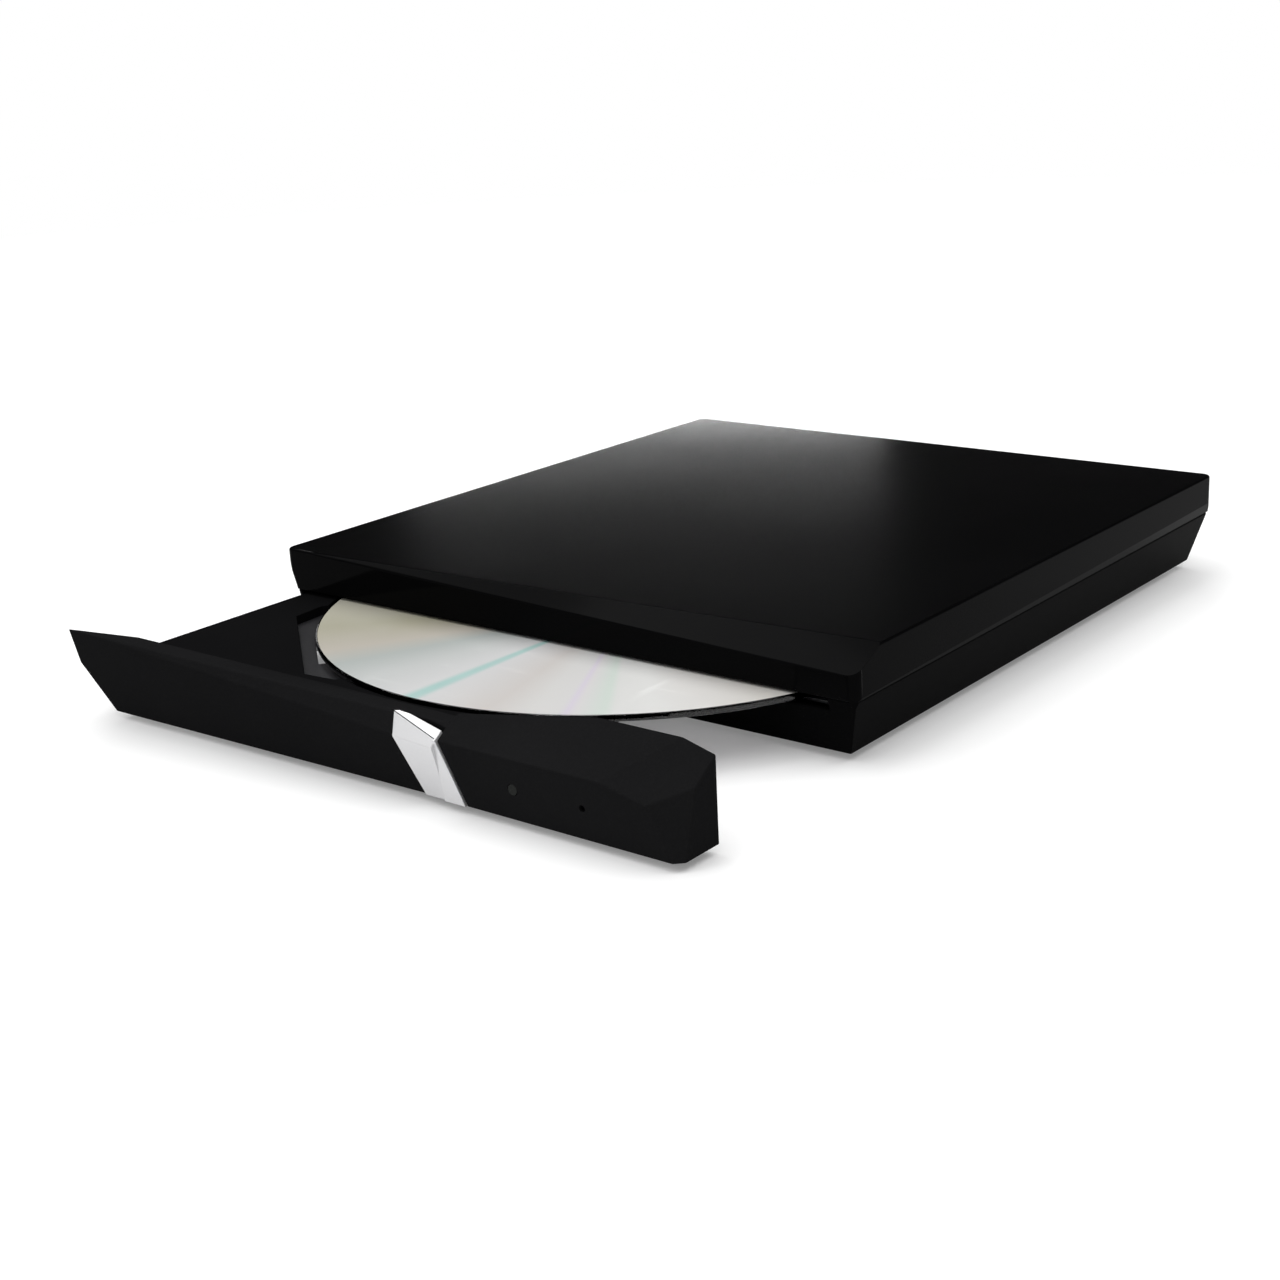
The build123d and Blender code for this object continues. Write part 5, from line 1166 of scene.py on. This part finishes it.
@dataclass
class Spindle:
    """Motor that turns the disc, with its stator, and the hub that centres the disc."""

    shop: Workshop
    stator_rise: float = 1.55 * MM
    poles: int = 9
    pole_inner: float = 3.3 * MM
    pole_outer: float = 9.0 * MM
    pole_width: float = 1.1 * MM
    pole_height: float = 0.5 * MM
    ring_wall: float = 1.0 * MM
    foot_half: float = 2.3 * MM
    foot_depth: float = 0.7 * MM
    bar_sink: float = 0.5 * MM
    coil_margin: tuple[float, float] = (1.15 * MM, 0.85 * MM)
    coil_taper: float = 0.3 * MM
    coil_square: float = 0.6
    coil_round: float = 0.5 * MM
    wire_bulge: float = 0.06 * MM
    wire_pitch: float = 0.26 * MM
    screw_circle: float = 8.2 * MM
    screw_radius: float = 1.25 * MM
    screw_height: float = 0.28 * MM
    cable_start: tuple[float, float] = (3.1 * MM, -14.5 * MM)
    cable_run: tuple[float, float] = (-7.6 * MM, 29.7 * MM)
    cable_bend: float = 1.4
    cable_width: float = 5.6 * MM
    cable_sheet: float = 0.10 * MM
    ease_start: float = 0.62
    ease_share: float = 0.3
    plate_gap: float = 0.06 * MM
    board_gap: float = 0.45 * MM

    def build(self) -> None:
        """Softens the motor and the hub, and makes the stator, the screws and the cable."""
        shop = self.shop
        shop.soften(("spindle_motor", MOTOR_SILVER, 0.10), ("turntable", ROTOR_GREY, 0.10),
                    ("turntable_ring", FOOT_RUBBER, 0.05),
                    *((node, WHITE_PLASTIC, 0.10) for node in sorted(shop.frame["nodes"])
                      if node.startswith("hub_claw")))
        low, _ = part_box("spindle_motor")
        middle = Workshop.middle("turntable")
        centre = (middle[0], middle[1], low.z + self.stator_rise)
        shop.piece("stator_core", self.core().moved(centre), "spindle_motor", DARK_STEEL)
        shop.piece("stator_coils", self.coils().moved(centre), "spindle_motor", COPPER, slot="coil_brass")
        plate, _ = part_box("traverse_frame")
        places = [(self.screw_circle * math.cos(a), self.screw_circle * math.sin(a))
                  for a in np.radians([30.0, 150.0, 270.0])]
        heads = Workshop.screw_heads(places, plate.z, self.screw_radius, self.screw_height)
        shop.piece("motor_screws", Workshop.on_plate(heads), "spindle_motor", BRIGHT_STEEL, slot="screw_steel")
        shop.piece("motor_cable", self.cable(plate.z), "spindle_motor", FLEX_AMBER, slot="cable_plastic")

    def cable(self, plate: float) -> Form:
        """Flat cable from under the motor to the tray's board: a band along a curve.

        Its y changes evenly with the share of the way, its x with the share to the power cable_bend.
        Its height stays at the plate for most of the way, then eases to the board with a squared sine.

        Args:
            plate: Height of the plate's underside.

        Returns:
            The cable.
        """
        share = np.linspace(0.0, 1.0, 40)
        board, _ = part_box("tray_board")
        x = self.cable_start[0] + self.cable_run[0] * share ** self.cable_bend
        y = self.cable_start[1] + self.cable_run[1] * share
        eased = np.clip((share - self.ease_start) / self.ease_share, 0.0, 1.0)
        rise = np.sin(eased * math.pi / 2) ** 2
        z = plate - self.plate_gap + (board.z - self.board_gap - plate) * rise
        return Form.strip(np.stack([x, y, z], 1), np.array([self.cable_width / 2, 0.0, 0.0]), self.cable_sheet)

    def core(self) -> Form:
        """Iron of the stator: a ring, and a bar with a wider foot for each pole."""
        half, side, inner, outer = self.pole_height / 2, self.pole_width / 2, self.pole_inner, self.pole_outer
        wall, sink = inner + self.ring_wall, self.bar_sink
        ring = Form.revolved([(inner, -half), (wall, -half), (wall, half), (inner, half)])
        bar = Form.block((inner + sink, -side, -half), (outer - sink, side, half), 0.1 * MM, 0.05 * MM,
                         points=16)
        foot = Form.block((outer - self.foot_depth, -self.foot_half, -half),
                          (outer, self.foot_half, half), 0.25 * MM, 0.05 * MM, points=16)
        return ring + (bar + foot).fanned(self.poles)

    def coils(self) -> Form:
        """Wire round each pole: a rounded section carried along the pole, its size rising at each turn.

        The rise of a few hundredths of a millimetre follows the absolute sine of the distance along
        the pole, and the section shrinks towards both ends.
        """
        along = np.linspace(self.pole_inner + self.coil_margin[0], self.pole_outer - self.coil_margin[1], 46)
        turn = np.linspace(0.0, 2 * math.pi, 20, endpoint=False)
        bulge = self.wire_bulge * np.abs(np.sin((along - along[0]) / self.wire_pitch * math.pi))
        ends = np.minimum(np.minimum(along - along[0], along[-1] - along) / self.coil_taper, 1.0)
        reach = ((self.coil_round + bulge) * (0.55 + 0.45 * ends))[:, None]
        across = squared_off(np.cos(turn), self.coil_square) * (self.pole_width / 2 + reach * 0.8)
        rise = squared_off(np.sin(turn), self.coil_square) * (self.pole_height / 2 + reach)
        rows = np.stack([np.broadcast_to(along[:, None], across.shape), across, rise], 2)
        return Form.carried(rows).fanned(self.poles)


@dataclass
class Pickup:
    """Sled with its lens, the rods, the lead screw and its motor."""

    shop: Workshop
    lens_edge: float = 0.12 * MM
    cover: Plan = (-9.6, -26.3, 9.6, -15.7)
    cover_sheet: float = 0.12 * MM
    screws: tuple[tuple[float, float], ...] = ((-7.6 * MM, -17.6 * MM), (7.6 * MM, -24.4 * MM))
    screw_radius: float = 0.95 * MM
    screw_height: float = 0.2 * MM

    def build(self) -> None:
        """Softens the sled's parts, covers its underside and turns the lens."""
        shop = self.shop
        shop.soften(("sled_body", CAST_ZINC, 0.14), ("sled_nut", WHITE_PLASTIC, 0.10),
                    ("lens_holder", CONNECTOR_BLACK, 0.12), ("guide_rods", BRIGHT_STEEL, 0.05),
                    ("lead_screw", BRIGHT_STEEL, 0.04), ("stepper_motor", MOTOR_SILVER, 0.10))
        belly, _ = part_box("sled_body")
        seat = belly.z - self.cover_sheet
        cover = Form.slab(self.cover, seat, belly.z, 1.0 * MM, 0.04 * MM, points=40)
        shop.piece("sled_cover", Workshop.on_plate(cover), "sled_body", SHEET_STEEL, slot="steel_sheet")
        heads = Workshop.screw_heads(self.screws, seat, self.screw_radius, self.screw_height)
        shop.piece("sled_screws", Workshop.on_plate(heads), "sled_body", BRIGHT_STEEL, slot="screw_steel")
        shop.piece("pickup_lens", self.lens(), "objective_lens", LENS_GLASS, replaces=True)

    def lens(self) -> Form:
        """Lens with a flat underside, a short upright edge, and a crown that rises with a parabola."""
        low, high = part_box("objective_lens")
        radius, rim = (high.x - low.x) / 2, low.z + self.lens_edge
        dome = high.z - low.z - self.lens_edge
        crown = [(radius * (1 - s), rim + dome * (1 - (1 - s) ** 2)) for s in np.linspace(0.0, 1.0, 12)]
        middle = Workshop.middle("objective_lens")
        return Form.revolved([(0.0, low.z), (radius, low.z), *crown], (middle[0], middle[1], 0.0))


@dataclass
class Mechanism:
    """Pan and its cover, guides, slides, mechanism plate, lock and the flat cable."""

    shop: Workshop
    traces: int = 16
    trace_width: float = 0.6 * MM
    trace_margin: float = 0.9 * MM
    turns: int = 22
    coil_half: tuple[float, float] = (2.75 * MM, 0.62 * MM)
    coil_end: float = 2.05 * MM
    coil_rise: float = 0.8 * MM
    wire_bulge: float = 0.08 * MM

    def build(self) -> None:
        """Softens the mechanism's nodes, and adds the cable's conductors and the solenoid's winding."""
        self.shop.soften(
            ("drive_pan", SHEET_STEEL, 0.08), ("drive_cover", SHEET_STEEL, 0.06),
            ("left_slide", SHEET_STEEL, 0.06), ("right_slide", SHEET_STEEL, 0.06),
            ("traverse_frame", SHEET_STEEL, 0.10), ("cover_screws", DARK_STEEL, 0.08),
            ("left_guide", NATURAL_PLASTIC, 0.08), ("right_guide", NATURAL_PLASTIC, 0.08),
            ("striker_pin", BRIGHT_STEEL, 0.08), ("dampers", FOOT_RUBBER, 0.08),
            ("damper_screws", BRIGHT_STEEL, 0.06), ("mech_cover", DARK_STEEL, 0.05),
            ("lock_lever", WHITE_PLASTIC, 0.10), ("lock_solenoid", SHEET_STEEL, 0.10))
        self.shop.dress("flex_cable", FLEX_AMBER)
        self.shop.piece("cable_conductors", self.conductors(), "flex_cable", COPPER, slot="cable_plastic")
        self.shop.piece("solenoid_winding", self.winding(), "lock_solenoid", COPPER, slot="coil_brass")

    def conductors(self) -> Form:
        """Flat conductors that show through the cable: thin bands side by side along it."""
        low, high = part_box("flex_cable")
        along = np.linspace(low.y + 0.5 * MM, high.y - 0.5 * MM, 3)
        band = Form.band(along, high.z + 0.01 * MM, self.trace_width, 0.03 * MM)
        return band.across(np.linspace(low.x + self.trace_margin, high.x - self.trace_margin, self.traces))

    def winding(self) -> Form:
        """Wire in the solenoid's frame: a rounded section along Y, its size rising at each turn.

        The rise follows the absolute sine of the distance along the winding.
        """
        low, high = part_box("lock_solenoid")
        along = np.linspace(low.y + self.coil_end, high.y - self.coil_end, self.turns * 6 + 1)
        turn = np.linspace(0.0, 2 * math.pi, 28, endpoint=False)
        wave = np.abs(np.sin((along - along[0]) / (along[-1] - along[0]) * self.turns * math.pi))[:, None]
        across = squared_off(np.cos(turn), 0.35) * (self.coil_half[0] + self.wire_bulge * wave)
        rise = squared_off(np.sin(turn), 0.5) * (self.coil_half[1] + self.wire_bulge * wave)
        rows = np.stack([(low.x + high.x) / 2 + across, np.broadcast_to(along[:, None], across.shape),
                         low.z + self.coil_rise + rise], 2)
        return Form.carried(rows)


@dataclass(frozen=True)
class Softbox:
    """A rectangular lamp: its middle, the point that it faces, its sides and its power in watts."""

    name: str
    place: Point
    target: Point
    width: float
    height: float
    watts: float

    def build(self) -> None:
        """Adds the lamp."""
        data = bpy.data.lights.new(self.name, "AREA")
        data.shape = "RECTANGLE"
        data.size = self.width
        data.size_y = self.height
        data.energy = self.watts
        lamp = bpy.data.objects.new(self.name, data)
        lamp.location = self.place
        lamp.rotation_euler = (Vector(self.target) - Vector(self.place)).to_track_quat("-Z", "Y").to_euler()
        bpy.context.scene.collection.objects.link(lamp)


@dataclass
class Studio:
    """Floor, world, lamps and camera."""

    place: Point = (0.232912, -0.299089, 0.122337)
    lens: float = 56.01
    sensor: float = 36.0
    yaw: float = 0.686674
    pitch: float = 0.312430
    roll: float = 0.050258
    floor_size: float = 24.0
    floor_tone: Color = (0.84, 0.84, 0.84)
    floor_glow: float = 0.20
    far_light: float = 0.3  # share of the far floor's light that lights the drive too
    shadow_reach: float = 0.45
    shadow_fade: float = 0.5
    fill: float = 0.30
    sweep_top: float = 0.205
    sweep_fade: float = 0.07
    above_sweep: float = 0.012
    lamps: tuple[Softbox, ...] = (
        Softbox("top_softbox", (-0.27, 0.0, 1.50), (-0.27, 0.0, 0.0), 3.1, 2.9, 38.0),
        Softbox("back_softbox", (-1.17, 1.44, 0.225), (-0.05, 0.07, 0.02), 0.54, 0.23, 20.0),
        Softbox("left_card", (-0.80, 0.17, 1.25), (0.04, -0.09, 0.01), 0.45, 0.30, 0.8),
        Softbox("overhead_card", (-0.26, -0.24, 1.45), (0.06, -0.09, 0.01), 0.30, 0.30, 1.4),
        Softbox("front_softbox", (-0.60, -1.60, 1.10), (0.0, -0.08, 0.01), 1.2, 0.9, 6.0))

    def build(self) -> None:
        """Makes the floor, the world, the lamps and the camera."""
        self.floor()
        self.world()
        for lamp in self.lamps:
            lamp.build()
        self.camera()

    def floor(self) -> None:
        """White floor: it keeps the shadow near the drive, is even white further out, and clear from below."""
        mesh = bpy.data.meshes.new("floor")
        half = self.floor_size / 2
        mesh.from_pydata([(-half, -half, 0), (half, -half, 0), (half, half, 0), (-half, half, 0)], [],
                         [(0, 1, 2, 3)])
        floor = bpy.data.objects.new("floor", mesh)
        bpy.context.scene.collection.objects.link(floor)
        material = bpy.data.materials.new("floor_white")
        material.use_nodes = True
        nodes = NodeTree(material.node_tree)
        seen = nodes.math("MAXIMUM", *self.rays(nodes))
        matt = nodes.add("ShaderNodeBsdfDiffuse", Color=self.floor_tone)
        glow = nodes.add("ShaderNodeEmission", Strength=nodes.math("MULTIPLY", seen, self.floor_glow))
        near = nodes.layered("ShaderNodeAddShader", matt.outputs["BSDF"], glow.outputs["Emission"])
        level = nodes.math("ADD", nodes.math("MULTIPLY", seen, 1.0 - self.far_light), self.far_light)
        white = nodes.add("ShaderNodeEmission", Strength=level)
        both = nodes.layered("ShaderNodeMixShader", self.beyond(nodes), near, white.outputs["Emission"])
        behind = nodes.add("ShaderNodeNewGeometry").outputs["Backfacing"]
        clear = nodes.add("ShaderNodeBsdfTransparent").outputs["BSDF"]
        nodes.add("ShaderNodeOutputMaterial",
                  Surface=nodes.layered("ShaderNodeMixShader", behind, both, clear))
        mesh.materials.append(material)

    def beyond(self, nodes: NodeTree) -> Socket:
        """0 on the floor round the drive, rising to 1 further out: distance from the middle, scaled and cut."""
        length = nodes.add("ShaderNodeVectorMath", operation="LENGTH")
        nodes.feed(length.inputs[0], nodes.add("ShaderNodeTexCoord").outputs["Object"])
        past = nodes.math("SUBTRACT", length.outputs["Value"], self.shadow_reach)
        return nodes.clamped(nodes.math("DIVIDE", past, self.shadow_fade))

    @staticmethod
    def rays(nodes: NodeTree) -> tuple[Socket, Socket]:
        """Two sockets: 1 where the camera sees a surface, and 1 where a mirror or glass does."""
        path = nodes.add("ShaderNodeLightPath").outputs
        mirrored = nodes.math("MAXIMUM", path["Is Glossy Ray"], path["Is Transmission Ray"])
        return path["Is Camera Ray"], mirrored

    def world(self) -> None:
        """Studio round the drive: white to the camera; to mirrors and glass a sweep under a dark ceiling.

        The sweep fades with the sine of the height angle of the ray.
        """
        world = bpy.data.worlds.new("studio")
        bpy.context.scene.world = world
        world.use_nodes = True
        nodes = NodeTree(world.node_tree)
        seen, mirrored = self.rays(nodes)
        ray = nodes.add("ShaderNodeTexCoord").outputs["Generated"]
        height = nodes.add("ShaderNodeSeparateXYZ", Vector=ray).outputs["Z"]
        share = nodes.math("DIVIDE", nodes.math("SUBTRACT", self.sweep_top, height), self.sweep_fade)
        sweep = nodes.math("MULTIPLY", mirrored, nodes.clamped(share, self.above_sweep))
        even = nodes.math("MULTIPLY", nodes.math("SUBTRACT", 1.0, mirrored), self.fill)
        level = nodes.math("MAXIMUM", seen, nodes.math("ADD", sweep, even))
        sky = nodes.add("ShaderNodeBackground", Color=(1.0, 1.0, 1.0), Strength=level)
        nodes.add("ShaderNodeOutputWorld", Surface=sky.outputs["Background"])

    def camera(self) -> None:
        """Camera at the photograph's place: its axes follow from yaw, pitch and roll."""
        flat = math.cos(self.pitch)
        forward = Vector((-math.sin(self.yaw) * flat, math.cos(self.yaw) * flat, -math.sin(self.pitch)))
        level = Vector((math.cos(self.yaw), math.sin(self.yaw), 0.0))
        down = forward.cross(level)
        right = math.cos(self.roll) * level + math.sin(self.roll) * down
        up = math.sin(self.roll) * level - math.cos(self.roll) * down
        data = bpy.data.cameras.new("camera")
        data.sensor_width = self.sensor
        data.lens = self.lens
        data.clip_start = 0.01
        data.clip_end = 60.0
        camera = bpy.data.objects.new("camera", data)
        bpy.context.scene.collection.objects.link(camera)
        turn = Matrix((right, up, -forward)).transposed().to_4x4()
        camera.matrix_world = Matrix.Translation(self.place) @ turn
        bpy.context.scene.camera = camera


def main() -> None:
    """Builds the drive's pieces, the studio and the camera."""
    logging.basicConfig(level=logging.INFO, format="%(message)s")
    bpy.ops.wm.read_factory_settings(use_empty=True)
    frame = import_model()
    shop = Workshop(frame, Effects())
    for assembly in (CaseShell, RearBoard, TrayFront, Disc, Spindle, Pickup, Mechanism):
        assembly(shop).build()
    Studio().build()
    bpy.context.scene.view_settings.view_transform = "Standard"


if __name__ == "__main__":
    main()
